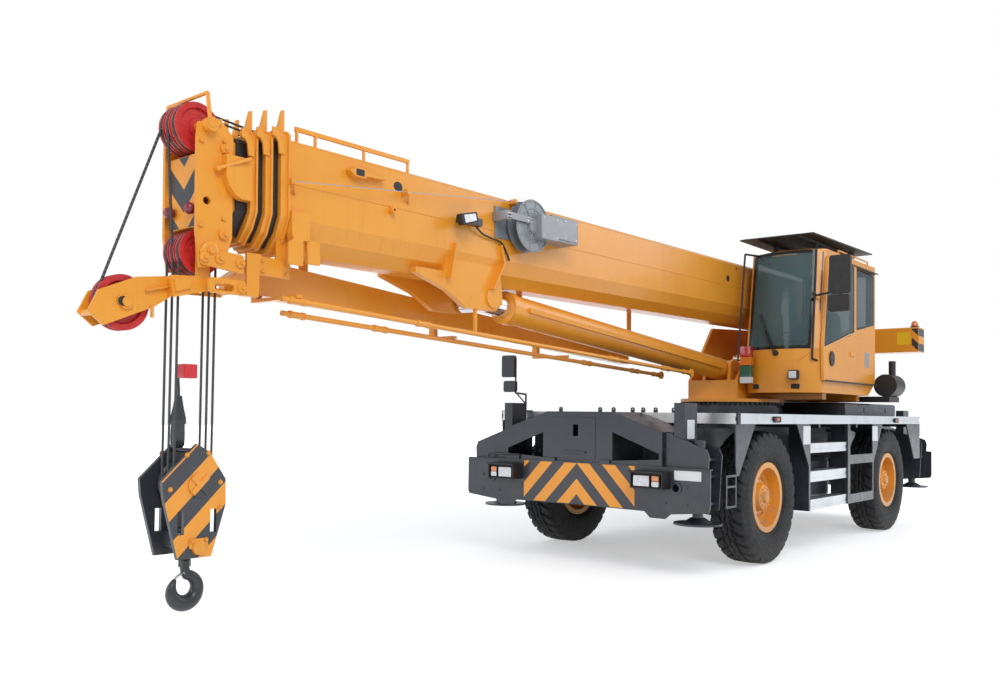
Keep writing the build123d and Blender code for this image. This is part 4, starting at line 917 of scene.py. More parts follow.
def disc(middle: Spot, radius: float, tall: float = 1.0, steps: int = 28) -> Array:
    """A round or oval outline: middle + radius * (cos t, tall * sin t)."""
    t = np.linspace(0, 2 * math.pi, steps, endpoint=False)
    return np.stack([middle[0] + radius * np.cos(t), middle[1] + radius * tall * np.sin(t)], axis=-1)


def bolts(name: str, spots: Sequence[Point], axis: Point, radius: float, rise: float,
          put: Put | None = None) -> Piece:
    """Hexagon heads with chamfered tops on washers, all in one piece.

    Args:
        name: The piece's name.
        spots: Middles of the washers in millimetres.
        axis: Way in which the heads stand out.
        radius: Corner radius of a head.
        rise: Height of a head.
        put: Function from a spot to row-frame metres; the carrier frame if left out.

    Returns:
        The joined heads.
    """
    profile = [(0, 0), (0, 1.5 * radius), (0.15 * rise, 1.5 * radius), (0.15 * rise, radius),
               (rise * 0.85, radius), (rise, radius * 0.8), (rise, 0)]
    heads = [turned("head", profile, spot, axis, 6, put) for spot in spots]
    return merged(name, heads)


def ride(piece: Piece, body: str) -> Piece:
    """Lets a piece move with a body.

    Args:
        piece: The piece.
        body: The body that it moves with.

    Returns:
        The same piece.
    """
    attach(piece, body)
    LOG.info("%s rides on %s with %d faces", piece.name, body, len(piece.data.polygons))
    return piece


def fit(piece: Piece, material: Material, body: str) -> Piece:
    """Gives a new piece its finish and its body."""
    return ride(painted(piece, material), body)


# Running gear
@dataclass
class Tyre:
    """One block-treaded tyre, drawn as a closed section turned about its axle."""

    name: str
    end: int
    side: int
    lugs: int = 30
    groove: float = 24.0
    lean: Spot = (0.7, 150.0)
    half_cut: float = 0.13
    zigzag: float = 22.0

    def section(self) -> Array:
        """The section from bead to bead, as (distance along the axle, radius), with rounded shoulders.

        Returns:
            Points from one bead to the other.
        """
        w = TYRE_W / 2
        out = [(-136, BEAD_R), (-136, BEAD_R + 42), (-150, BEAD_R + 50), (-168, BEAD_R + 84),
               (-176, BEAD_R + 88), (-184, BEAD_R + 112), (-191, TYRE_R - 190), (-w, TYRE_R - 150),
               (-w, TYRE_R - 118), (-190, TYRE_R - 112), (-190, TYRE_R - 84), (-181, TYRE_R - 60),
               (-w + 14, TYRE_R - 40), (-w + 20, TYRE_R - 22), (-w + 32, TYRE_R - 12), (-w + 52, TYRE_R - 5)]
        crown = [(d, TYRE_R - 5 * (abs(d) / 140) ** 2) for d in np.linspace(-130, 130, 27)]
        return np.array(out + crown + [(-d, r) for d, r in reversed(out)], float)

    def build(self, finish: Finishes) -> Piece:
        """Makes the tread: radius drops in slanted cross grooves and two zigzag rings.

        Radius = section radius - groove depth where the slanted lug phase, or the distance
        from a zigzag ring, falls inside a groove, faded out down the shoulder. The lugs lean by
        a share of their pitch over a distance in millimetres across the tread.

        Args:
            finish: The crane's finishes.

        Returns:
            The tyre.
        """
        share, across = self.lean
        d, r = self.section().T
        steps = self.lugs * 14
        t = np.linspace(0, 2 * math.pi, steps, endpoint=False)[None, :]
        d2, r2 = d[:, None], r[:, None]
        turn = t * self.lugs / (2 * math.pi)
        phase = np.mod(turn + np.abs(d2) / across * share + (d2 > 0) * 0.5, 1.0)
        cross = (np.abs(phase - 0.5) < self.half_cut) & (np.abs(d2) > 36)
        wave = self.zigzag * (np.abs(np.mod(turn, 1.0) - 0.5) * 4 - 1)
        rings = (np.abs(np.abs(d2) - 58 - wave * 0.5) < 8) | (np.abs(d2 - wave * 0.4) < 6)
        fade = np.clip((r2 - (TYRE_R - 86)) / 50, 0, 1)
        tread = r2 - self.groove * fade * (cross | rings)
        x = self.end * HALF_WHEELBASE + tread * np.cos(t)
        z = TYRE_R + tread * np.sin(t)
        y = self.side * HALF_TRACK + d2
        piece = from_grid(self.name + " tyre", place(x, y, z), around=True, along=True)
        painted(piece, finish.rubber)
        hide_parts(self.name + "_tyre")
        return ride(piece, self.name + "_wheel")


@dataclass
class Wheel:
    """Wheel nuts, hub cap and reduction hub bolts on one rim."""

    name: str
    end: int
    side: int
    nuts: int = 12
    circle: float = 196.0
    hub_bolts: int = 10
    hub_circle: float = 96.0

    def build(self, finish: Finishes) -> Piece:
        """Makes the nuts, the hub's bolts and its cap as one piece: circle * (cos a, sin a).

        Args:
            finish: The crane's finishes.

        Returns:
            The joined piece.
        """
        x, y, z = self.end * HALF_WHEELBASE, self.side * HALF_TRACK, TYRE_R
        axis = (0, self.side, 0)
        nut = [(18, 0), (18, 21), (46, 21), (50, 17), (50, 12), (66, 12), (68, 9), (68, 0)]
        bolt = [(116, 0), (116, 11), (136, 11), (138, 8), (138, 0)]
        cap = [(126, 0), (126, 62), (132, 62), (150, 54), (156, 40), (158, 0)]
        parts: list[Piece] = []
        for count, circle, shift, profile in ((self.nuts, self.circle, 0.0, nut),
                                              (self.hub_bolts, self.hub_circle, 0.5, bolt)):
            for k in range(count):
                a = 2 * math.pi * (k + shift) / count
                spot = (x + circle * math.cos(a), y, z + circle * math.sin(a))
                parts.append(turned("head", profile, spot, axis, 6))
        parts.append(turned("cap", cap, (x, y, z), axis))
        piece = merged(self.name + " wheel nuts", parts)
        return fit(piece, finish.rim_orange, self.name + "_wheel")


# Cab
def cab_front(y: Array, z: Array, out: float = 0.0) -> Array:
    """The cab's curved front: front edge by height plus a circular arc across the width, in millimetres.

    Args:
        y: Distance across.
        z: Height.
        out: Distance in front of the shell's face.

    Returns:
        X at each place.
    """
    floor, sill, eaves = CAB_FRONTS
    edge = np.where(z < CAB_SILL, floor + (z - CAB_FLOOR) / (CAB_SILL - CAB_FLOOR) * (sill - floor),
                    sill - (z - CAB_SILL) / (CAB_EAVES - CAB_SILL) * (sill - eaves))
    half, middle = (CAB_OUT - CAB_IN) / 2, (CAB_OUT + CAB_IN) / 2
    radius = (half ** 2 + CAB_BULGE ** 2) / (2 * CAB_BULGE)
    return edge + CAB_BULGE - radius + np.sqrt(radius ** 2 - (y - middle) ** 2) + out


@dataclass
class CabGlass:
    """The cab's panes: curved windscreen, door, quarter, far side and rear windows."""

    thickness: float = 6.0
    flat_thickness: float = 5.0
    screen_top: float = CAB_EAVES + 26
    screen_edge: float = CAB_OUT - 95
    door: Outline = (
        (-664, CAB_SILL + 250), (-580, CAB_SILL + 229), (352, CAB_SILL + 18), (190, 3425), (-664, 3425))
    quarter: Outline = ((-838, 3428), (-1526, 3428), (-1526, 2738), (-838, 2640))
    far: Outline = ((-1466, 2434), (246, 2434), (110, 3476), (-1466, 3476))
    rear: Outline = ((CAB_IN + 94, 2484), (CAB_OUT - 94, 2484), (CAB_OUT - 94, 3456), (CAB_IN + 94, 3456))

    def build(self, finish: Finishes) -> None:
        """Makes every pane and lets it move with the cab or the door.

        Args:
            finish: The crane's finishes.
        """
        top, edge, base = self.screen_top, self.screen_edge, CAB_SILL
        screen = self.bent_sheet("windscreen", [(CAB_IN + 30, base + 4), (edge, base + 4), (edge, top),
                                                (CAB_IN + 46, top)], 3.0)
        fit(screen, finish.glass, "turret")
        post = self.bent_sheet("front_post", [(edge - 5, base), (CAB_OUT - 40, base), (CAB_OUT - 40, top),
                                              (edge - 5, top)], 5.0)
        fit(post, finish.orange, "turret")
        rows = (("door glass", self.door, 44, facing_y(DOOR_FACE + 2), "cab_door"),
                ("quarter glass", self.quarter, 50, facing_y(CAB_OUT + 3), "turret"),
                ("far glass", self.far, 40, facing_y(3 - CAB_IN, -1), "turret"),
                ("rear glass", self.rear, 40, facing_x(CAB_REAR - 3, -1), "turret"))
        for name, outline, corner, spot, body in rows:
            pane = slab(name, rounded(outline, corner, 6), self.flat_thickness, spot, 1.0)
            fit(pane, finish.glass, body)

    def bent_sheet(self, name: str, corners: list[Spot], out: float) -> Piece:
        """A sheet bent to the cab's front: cab_front over a grid between four corners in Y and Z.

        Args:
            name: The piece's name.
            corners: Four corners in Y and Z.
            out: Distance in front of the shell's face.

        Returns:
            The closed sheet.
        """
        (y0, z0), (y1, z1), (y2, z2), (y3, z3) = corners
        u = np.linspace(0, 1, 33)[None, :]
        v = np.linspace(0, 1, 25)[:, None]
        y = (1 - v) * ((1 - u) * y0 + u * y1) + v * ((1 - u) * y3 + u * y2)
        z = (1 - v) * ((1 - u) * z0 + u * z1) + v * ((1 - u) * z3 + u * z2)
        outer = place(cab_front(y, z, out), y, z)
        inner = place(cab_front(y, z, out - self.thickness), y, z)
        wide, tall = abs(y1 - y0), abs(z3 - z0)
        rim = np.minimum(np.minimum(u, 1 - u) * wide, np.minimum(v, 1 - v) * tall) / 1000
        rim = np.broadcast_to(rim, y.shape)
        uv = np.stack([rim, rim], axis=-1)
        return merged(name, [from_grid(name, outer, uv=uv), from_grid(name, inner[:, ::-1], uv=uv[:, ::-1])])


# Carrier details
@dataclass
class BumperTrim:
    """Chevrons, lamp lenses and blank plates on the front bumper."""

    stripes_half: float = 675.0
    stripes_top: float = 1030.0
    plate: Outline = ((1100, 921), (1376, 1011))
    lens_x: float = 3591.0
    lenses: tuple[tuple[str, str, float, float, float, float], ...] = (
        ("clear", "wide", -140, 30, 856, 956), ("amber", "turn", 58, 132, 908, 956),
        ("clear", "side", 58, 132, 856, 904))
    bolt_rows: tuple[tuple[float, float], ...] = ((1010, 1236), (700, 860))

    def build(self, finish: Finishes) -> None:
        """Makes the pieces that lie on the bumper's face and in the lamp hoods.

        Args:
            finish: The crane's finishes.
        """
        face = facing_x(BUMPER_FACE + 2.5)
        panel = slab("bumper_chevrons", square((-self.stripes_half, BUMPER_LOW + 6),
                                               (self.stripes_half, self.stripes_top)), 4, face)
        fit(panel, finish.chevrons, "carrier")
        fit(slab("bumper_plate", square(*self.plate, 6), 4, face), finish.plate, "carrier")
        for side, word in SIDES:
            self.lamp(finish, side, word)
        wide, high = self.bolt_rows
        spots = [(BUMPER_FACE, side * y, z) for side in (1, -1) for y in wide for z in high]
        fit(bolts("bumper_bolts", spots, (1, 0, 0), 11, 9), finish.slate, "carrier")

    def lamp(self, finish: Finishes, side: int, word: str) -> None:
        """A wide clear lens, and a narrow one that is amber above and clear below.

        Args:
            finish: The crane's finishes.
            side: 1 on the left, -1 on the right.
            word: The side's name.
        """
        for colour, kind, low, high, base, top in self.lenses:
            a, b = sorted((side * (LAMP_Y + low), side * (LAMP_Y + high)))
            outline = square((a, base), (b, top), 8)
            lens = slab(f"{word}_{kind}_lens", outline, 7, facing_x(self.lens_x + 6), 3)
            fit(lens, getattr(finish, colour), "carrier")


@dataclass
class SideTrim:
    """Blank plates, side markers, corner clips and tank caps along the carrier's sides."""

    plates: tuple[tuple[str, Spot, Spot], ...] = (
        ("front", (1049, 1222), (1251, 1422)), ("rear", (-1226, 1227), (-1024, 1417)))
    marker_x: tuple[float, ...] = (1954, -1988)
    tank_fill: Point = (-590, 1100, 1215)
    jack_face: float = 1160.0

    def build(self, finish: Finishes) -> None:
        """Makes the pieces on both sides.

        Args:
            finish: The crane's finishes.
        """
        for side, word in SIDES:
            for name, low, high in self.plates:
                plate = slab(f"{word}_{name}_plate", square(low, high, 6), 3, facing_y(DECK_HALF + 2, side))
                fit(plate, finish.plate, "carrier")
            for k, x in enumerate(self.marker_x):
                self.marker(finish, side, f"{word}_marker", k, x)
            clip = slab(f"{word}_corner_clip", square((DECK_FRONT - 70, 1440), (DECK_FRONT - 6, 1554), 6), 30,
                        facing_y(DECK_HALF + 17, side), 3)
            fit(clip, finish.black, "carrier")
            self.tank_cap(finish, side, word)
            self.jack_plate(finish, side, word)

    def marker(self, finish: Finishes, side: int, word: str, k: int, x: float) -> None:
        """A black holder with a small amber lens, on the deck's edge.

        Args:
            finish: The crane's finishes.
            side: 1 on the left, -1 on the right.
            word: Start of the piece's name.
            k: The marker's number.
            x: Its middle.
        """
        y = DECK_HALF + 14
        holder = slab(f"{word}_{k}", square((x - 82, 1460), (x + 82, 1522), 8), 14, facing_y(y, side), 3)
        fit(holder, finish.black, "carrier")
        outline = square((x - 34, 1476), (x + 34, 1506), 8)
        lens = slab(f"{word}_lens_{k}", outline, 6, facing_y(y + 3, side), 2)
        fit(lens, finish.amber, "carrier")

    def tank_cap(self, finish: Finishes, side: int, word: str) -> None:
        """A grey filler neck with a black cap.

        Args:
            finish: The crane's finishes.
            side: 1 on the left, -1 on the right.
            word: The side's name.
        """
        x, y, z = self.tank_fill
        spot = (x, side * y, z)
        profile = [(0, 0), (0, 78), (12, 78), (16, 68), (122, 68), (122, 0)]
        neck = turned(f"{word}_tank_neck", profile, spot, UP)
        fit(neck, finish.grey, "carrier")
        profile = [(118, 0), (118, 80), (124, 86), (148, 86), (156, 78), (160, 24), (160, 0)]
        cap = turned(f"{word}_tank_cap", profile, spot, UP)
        fit(cap, finish.black, "carrier")

    def jack_plate(self, finish: Finishes, side: int, word: str) -> None:
        """The blank plate on the jack housing's outer face.

        Args:
            finish: The crane's finishes.
            side: 1 on the left, -1 on the right.
            word: The side's name.
        """
        x = BEAM_X_LEFT if side > 0 else BEAM_X_RIGHT
        outline = square((x - 70, 1300), (x + 70, 1480), 6)
        plate = slab(f"{word}_jack_plate", outline, 3, facing_y(self.jack_face, side))
        fit(plate, finish.plate, f"front_{word}_beam")


@dataclass
class RingBolts:
    """The bolts round the slewing ring."""

    count: int = 60
    circle: float = 628.0
    level: float = 1700.0

    def build(self, finish: Finishes) -> None:
        """Makes the bolt circle under the turret's floor: circle * (cos t, sin t).

        Args:
            finish: The crane's finishes.
        """
        t = np.linspace(0, 2 * math.pi, self.count, endpoint=False)
        middles = zip(self.circle * np.cos(t), self.circle * np.sin(t))
        spots = [(float(x), float(y), self.level) for x, y in middles]
        fit(bolts("ring_bolts", spots, (0, 0, -1), 17, 38), finish.forged, "turret")


# Upper works details
@dataclass
class CabTrim:
    """Wiper, lamps, door handle, pressed lines, mirror glass and the blank spots of the cab."""

    wiper_spot: Spot = (803.0, 2284.0)
    blade: tuple[float, ...] = (2352, 2764, 770, 0.47)
    arms: Point = (2290, 2560, 0.52)
    signals: tuple[tuple[str, str, float, float], ...] = (
        ("white", "plate", 1924, 2004), ("green", "emerald", 2007, 2140), ("amber", "amber", 2143, 2246),
        ("red", "ruby", 2249, 2378))
    handle: Spot = (122, 2223)
    door_line: Outline = ((372, 2338), (120, 2400), (-200, 2478), (-480, 2552), (-700, 2592))
    rear_line: Outline = ((-776, 2604), (-1000, 2652), (-1250, 2702), (-1548, 2752))
    pads_y: Spot = (540.0, 1030.0)
    mirror_x: float = 442.0

    def build(self, finish: Finishes) -> None:
        """Makes every small piece of the cab.

        Args:
            finish: The crane's finishes.
        """
        self.wiper(finish)
        self.lamp_stack(finish)
        self.door(finish)
        self.mirrors(finish)

    def wiper(self, finish: Finishes) -> None:
        """A motor boss, two thin arms and a blade that lies along the glass.

        Blade and arms run from one height to another, each over to one side by its slope.

        Args:
            finish: The crane's finishes.
        """
        y0, z0 = self.wiper_spot
        low, high, start, slope = self.blade
        z = np.linspace(low, high, 12)
        y = start - (z - low) * slope
        parts = [rod("blade", place(cab_front(y, z, 13.0), y, z), 10)]
        low, high, slope = self.arms
        for shift in (-18, 18):
            z = np.linspace(low, high, 8)
            y = y0 + shift - (z - low) * slope
            parts.append(rod("arm", place(cab_front(y, z, 24.0), y, z), 6))
        base = float(cab_front(np.array(y0), np.array(z0)))
        profile = [(-6, 0), (-6, 34), (16, 34), (34, 24), (36, 0)]
        parts.append(turned("boss", profile, (base, y0, z0), (1, 0, 0.1)))
        fit(merged("wiper", parts), finish.black, "turret")

    def lamp_stack(self, finish: Finishes) -> None:
        """Signal lenses on the far front corner, the work lamp, the front pads and the guard's ball.

        Args:
            finish: The crane's finishes.
        """
        for name, colour, low, high in self.signals:
            outline = square((CAB_IN + 2, low), (CAB_IN + 140, high), 10)
            lens = slab(f"signal_{name}", outline, 92, facing_x(560), 6)
            fit(lens, getattr(finish, colour), "turret")
        outline = square((CAB_OUT - 308, 1976), (CAB_OUT - 216, 2064), 10)
        lens = slab("work_lamp_lens", outline, 8, facing_x(566), 3)
        fit(lens, finish.clear, "turret")
        outline = square((CAB_OUT - 320, 1964), (CAB_OUT - 204, 2076), 14)
        bezel = slab("work_lamp_case", outline, 66, facing_x(561), 5)
        fit(bezel, finish.black, "turret")
        for k, y in enumerate(self.pads_y):
            x = float(cab_front(np.array(y), np.array(1890.0)))
            pad = slab(f"cab_pad_{k}", square((y - 52, 1858), (y + 52, 1916), 8), 22, facing_x(x + 10), 4)
            fit(pad, finish.black, "turret")
        ball = turned("guard_ball", [(-24, 0), (-20, 14), (-10, 23), (0, 25), (10, 23), (20, 14), (24, 0)],
                      (440, 1250, 2974), (0, 0, 1), 24)
        fit(ball, finish.black, "turret")

    def door(self, finish: Finishes) -> None:
        """The oval handle dish, the pressed lines that rise to the rear, and the plate under the door.

        Args:
            finish: The crane's finishes.
        """
        dish = slab("door_handle", disc(self.handle, 76, 1.2), 20, facing_y(DOOR_FACE + 16), 6)
        fit(dish, finish.black, "cab_door")
        line = np.array(self.door_line, float)
        press = rod("door_pressing", place(line[:, 0], DOOR_FACE - 3, line[:, 1]), 9)
        fit(press, finish.orange, "cab_door")
        line = np.array(self.rear_line, float)
        press = rod("cab_pressing", place(line[:, 0], CAB_OUT - 3, line[:, 1]), 9)
        fit(press, finish.orange, "turret")
        seam = rod("corner_pressing", place([352, 420, 470], [1280, 1180, 1060], [2330, 2290, 2180]), 8)
        fit(seam, finish.orange, "turret")
        sill = slab("door_sill", square((-720, 1862), (305, 1950), 8), 8, facing_y(CAB_OUT + 5), 2)
        fit(sill, finish.orange, "turret")
        blank = slab("cab_blank_plate", square((-1330, 2180), (-1170, 2380), 8), 3, facing_y(CAB_OUT + 2))
        fit(blank, finish.grey, "turret")

    def mirrors(self, finish: Finishes) -> None:
        """The mirror glass on the rear faces.

        Args:
            finish: The crane's finishes.
        """
        for name, low, high in (("upper", (1462, 2968), (1668, 3377)), ("lower", (1452, 2762), (1660, 2920))):
            glass = slab(f"{name}_mirror_glass", square(low, high, 26), 3, facing_x(self.mirror_x, -1))
            fit(glass, finish.chrome, "turret")


def kept_sign(value: Array, power: float) -> Array:
    """The power of a size, with the sign that it had."""
    return np.sign(value) * np.abs(value) ** power


@dataclass
class Seat:
    """The operator's seat: a plain base under a padded cushion and a padded back."""

    middle: float = (CAB_IN + CAB_OUT) / 2
    pan: float = CAB_FLOOR + 338
    cushion_size: Point = (540, 490, 88)
    back_size: Point = (660, 450, 96)
    channel_depth: float = 9.0

    def build(self, finish: Finishes) -> None:
        """Makes the base, the cushion and the back in place of the plain node.

        Args:
            finish: The crane's finishes.
        """
        profile = [(0, 0), (0, 170), (20, 176), (60, 150), (80, 90), (250, 84), (270, 150), (288, 160),
                   (288, 0)]
        foot = turned("foot", profile, (-720, self.middle, CAB_FLOOR + 48), UP, 40)
        outline = square((-975, self.pan + 2), (-440, self.pan + 34), 14)
        shell = slab("shell", outline, 470, facing_y(self.middle + 235), 10)
        outline = square((-930, self.pan - 40), (-500, self.pan + 4), 8)
        rails = slab("rails", outline, 250, facing_y(self.middle + 125), 6)
        base = merged("seat_base", [foot, shell, rails])
        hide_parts("cab_seat")
        fit(base, finish.black, "turret")
        centre = (-705, self.middle, self.pan + 76)
        self.pad("seat_cushion", centre, self.cushion_size, 0.04, (-95.0, 95.0), finish)
        centre = (-985, self.middle, self.pan + 430)
        self.pad("seat_back", centre, self.back_size, -1.40, (-85.0, 85.0), finish)

    def pad(self, name: str, centre: Point, size: Point, tilt: float, channels: tuple[float, ...],
            finish: Finishes) -> None:
        """A crowned pad: a superellipsoid with stitched channels across it.

        x = a * sgn(cos v)|cos v|^0.4 * sgn(cos u)|cos u|^0.35, y and z alike; a channel lowers the
        top by 9 mm * exp(-((y - channel) / 9)^2), and a seam pulls the side in round the middle.

        Args:
            name: The pad's name.
            centre: Its middle in the carrier frame, in millimetres.
            size: Its length, width and thickness in millimetres.
            tilt: Its turn about the Y axis, in radians.
            channels: Places of the stitched channels across its width.
            finish: The crane's finishes.
        """
        v = np.linspace(-math.pi / 2, math.pi / 2, 41)[:, None]
        u = np.linspace(0, 2 * math.pi, 128, endpoint=False)[None, :]
        ring = kept_sign(np.cos(v), 0.4)
        x = size[0] / 2 * ring * kept_sign(np.cos(u), 0.35)
        y = size[1] / 2 * ring * kept_sign(np.sin(u), 0.35)
        z = size[2] / 2 * kept_sign(np.sin(v), 0.62) * np.ones_like(u)
        crown = 10 * (1 - (2 * x / size[0]) ** 2) * (1 - (2 * y / size[1]) ** 2)
        z = z + np.where(z > 0, crown, 0)
        for channel in channels:
            z = z - np.where(z > 0, self.channel_depth * np.exp(-((y - channel) / 9) ** 2), 0)
        seam = 1 - 0.022 * np.exp(-(z / 5) ** 2)
        x, y = x * seam, y * seam
        wide = centre[0] + x * math.cos(tilt) + z * math.sin(tilt)
        high = centre[2] - x * math.sin(tilt) + z * math.cos(tilt)
        piece = painted(from_grid(name, place(wide, centre[1] + y, high), around=True), finish.cover)
        ride(piece, "turret")


@dataclass
class Counterweight:
    """Warning stripes and blank plates on the counterweight, with the beacon."""

    rear: float = -3330.0
    front: float = -2990.0
    low: float = 2490.0
    top: float = 2850.0
    half: float = 1462.0
    beacon: Spot = (-3100, 1380)

    def build(self, finish: Finishes) -> None:
        """Makes the stripes at both ends, the plates and the beacon.

        Args:
            finish: The crane's finishes.
        """
        base, top = self.low + 8, self.top - 22
        for side, word in SIDES:
            end = slab(f"{word}_weight_stripes", square((self.rear + 66, base), (self.front - 8, top), 6), 4,
                       facing_y(self.half + 1, side))
            fit(end, finish.ends, "turret")
            a, b = sorted((side * (self.half - 92), side * (self.half - 6)))
            band = slab(f"{word}_weight_band", square((a, base), (b, top), 5), 4, facing_x(self.front + 2))
            fit(band, finish.ends, "turret")
            a, b = sorted((side * (self.half - 300), side * (self.half - 110)))
            blank = slab(f"{word}_weight_plate", square((a, self.low + 110), (b, self.top - 70), 6), 3,
                         facing_x(self.front + 2))
            fit(blank, finish.yellow, "turret")
        spot = (*self.beacon, self.top)
        foot = turned("beacon_foot", [(0, 0), (0, 60), (10, 62), (22, 56), (24, 0)], spot, UP)
        fit(foot, finish.black, "turret")
        dome = turned("beacon_dome", [(22, 0), (22, 50), (60, 48), (84, 38), (98, 20), (102, 0)], spot, UP)
        fit(dome, finish.amber, "turret")


# Boom details
@dataclass
class BoomTrim:
    """Cable reel, guides, wire, windows, mouth rings of painted shade, ropes, rods and the jib's root on the
    boom.
    """

    face: float = BOOM_HALF_W
    reel_middle: Spot = (6914.0, 195.0)
    reel_rings: Outline = ((222, 10), (150, 6), (112, 7))
    reel_spokes: int = 8
    lamp_case: Outline = ((7635, 118), (7820, 62), (7850, 150), (7660, 196))
    wire_line: Outline = ((6914, 412), (7700, 318), (8356, 240), (9331, 128), (9455, 112))
    lead_points: tuple[Point, ...] = (
        (7540, 40, 96), (7460, 30, 60), (7350, 24, 40), (7200, 20, 20), (7120, 16, -60), (7080, 12, -118))
    collars: tuple[tuple[str, float, float, int], ...] = (
        ("boom", 9500, 9541, 1), ("section_2", 9605, 9641, 2), ("section_3", 9705, 9790, 3))
    rope_runs: tuple[tuple[str, float, float], ...] = (
        ("boom", 520, 9480), ("section_2", 1900, 9560), ("section_3", 3300, 9660), ("boom_tip", 4700, 10012))
    rope_height: float = 482.0
    rods: tuple[tuple[float, Spot, Spot, float, tuple[float, ...]], ...] = (
        (200, (9435, -664), (5300, -900), 3704, (9300, 8074, 5330)),
        (-200, (9135, -715), (4700, -955), 3700, (9000, 8169, 5219)))
    root_rows: tuple[tuple[float, ...], ...] = (
        (9386, -350, -178, -598, -362), (9450, -335, -160, -604, -410), (9530, -312, -146, -614, -455),
        (9600, -290, -134, -626, -500))

    def build(self, finish: Finishes) -> None:
        """Makes the small pieces along the boom and at the mouths of its sections.

        Args:
            finish: The crane's finishes.
        """
        self.openings(finish)
        self.reel(finish)
        self.wire(finish)
        self.mouths(finish)
        self.hoist_runs(finish)
        self.pendant_rods(finish)
        self.jib_root(finish)

    def openings(self, finish: Finishes) -> None:
        """Black sheets of painted shade over the boom's openings, the thin weld bead along the side plate,
        and the tilted work lamp.

        Args:
            finish: The crane's finishes.
        """
        # Each row is a black sheet on the side plate: painted shade where an opening is.
        rows = (("oval", disc((8405, 283), 46, 0.8), 1.5), ("rear", disc((2835, 198), 42, 0.9), 1.5),
                ("small_rear", disc((2603, 345), 18), 1.5), ("small_front", disc((6157, 345), 20), 1.5),
                ("window", square((8790, 273), (8868, 321), 6), 57.0))
        for name, outline, out in rows:
            spot = slab(f"boom_{name}_opening", outline, 4, boom_side(self.face + out, 1))
            fit(spot, finish.black, "boom")
        s = np.linspace(720, 9400, 40)
        fit(rod("weld_bead", on_boom(s, self.face, 116 + 0 * s), 4, 8), finish.orange, "boom")
        outline = rounded(self.lamp_case, 12)
        fit(slab("boom_lamp_case", outline, 62, boom_side(self.face + 150), 6), finish.black, "boom")
        middle = np.array(self.lamp_case, float).mean(0)
        lens = slab("boom_lamp_lens", middle + 0.72 * (outline - middle), 6, boom_side(self.face + 153), 2)
        fit(lens, finish.clear, "boom")

    def reel(self, finish: Finishes) -> None:
        """Rolled rims, spokes and a hub on the cable reel, its strap and motor, and the gearbox lid.

        Args:
            finish: The crane's finishes.
        """
        middle_s, middle_h = self.reel_middle
        y, strap_y, lid_y, motor_y = (self.face + out for out in (142, 168, 198, 232))
        parts = []
        for radius, wide in self.reel_rings:
            slant = wide * 0.7
            ring = [(-wide, radius), (-slant, radius - slant), (0, radius - wide), (slant, radius - slant),
                    (wide, radius), (slant, radius + slant), (0, radius + wide), (-slant, radius + slant),
                    (-wide, radius)]
            parts.append(turned("rim", ring, (middle_s, y, middle_h), (0, 1, 0), 64, on_boom))
        for k in range(self.reel_spokes):
            a = 2 * math.pi * k / self.reel_spokes + 0.2
            r = np.linspace(50, 216, 4)
            spoke = on_boom(middle_s + r * math.cos(a), y + 1, middle_h + r * math.sin(a))
            parts.append(rod("spoke", spoke, 9, 8))
        parts.append(turned("hub", [(-2, 0), (-2, 70), (18, 66), (30, 44), (34, 0)], (middle_s, y, middle_h),
                            (0, 1, 0), 32, on_boom))
        fit(merged("reel_rims", parts), finish.grey, "boom")
        strap = slab("reel_strap", square((6900, 205), (7290, 262), 8), 9, boom_side(strap_y), 2)
        foot = slab("reel_foot", square((7240, 195), (7300, 272), 6), 168, boom_side(strap_y), 3)
        fit(merged("reel_strap", [strap, foot]), finish.grey, "boom")
        lid = slab("gearbox_lid", square((6318, 118), (6682, 306), 14), 8, boom_side(lid_y), 4)
        fit(lid, finish.grey, "boom")
        motor = slab("reel_motor", square((6650, 80), (6900, 298), 16), 108, boom_side(motor_y), 6)
        fit(motor, finish.grey, "boom")
        rows = ((strap_y, (6955, 7015, 7255, 7280), (220, 248)), (motor_y - 1, (6680, 6870), (110, 268)),
                (lid_y - 1, (6340, 6500, 6660), (136, 290)))
        spots = [(s, out, h) for out, stations, heights in rows for s in stations for h in heights]
        fit(bolts("reel_bolts", spots, (0, 1, 0), 8, 8, on_boom), finish.steel, "boom")

    def wire(self, finish: Finishes) -> None:
        """The measuring wire, taut through its guides to the boom's mouth, and the work lamp's lead.

        Args:
            finish: The crane's finishes.
        """
        y = self.face + 62
        s, h = np.array(self.wire_line, float).T
        fit(rod("length_wire", on_boom(s, y, h), 3.5, 8), finish.steel, "boom")
        parts = []
        for name, s0, h0 in (("reel_guide", 7060, 395), ("mid_guide", 8356, 240), ("mouth_guide", 9430, 116)):
            outline = square((s0 - 16, h0 - 20), (s0 + 16, h0 + 22), 6)
            parts.append(slab(name, outline, 70, boom_side(y + 10), 3))
            stem = on_boom([s0 - 60, s0, s0 + 20], [self.face + 2, y, y + 6], [h0 - 70, h0 - 8, h0])
            parts.append(rod("stem", stem, 7))
        fit(merged("wire_guides", parts), finish.orange, "boom")
        lead = bow([(s0, self.face + out, h0) for s0, out, h0 in self.lead_points], 28)
        fit(rod("lamp_lead", on_boom(*lead.T), 8, 10), finish.black, "boom")

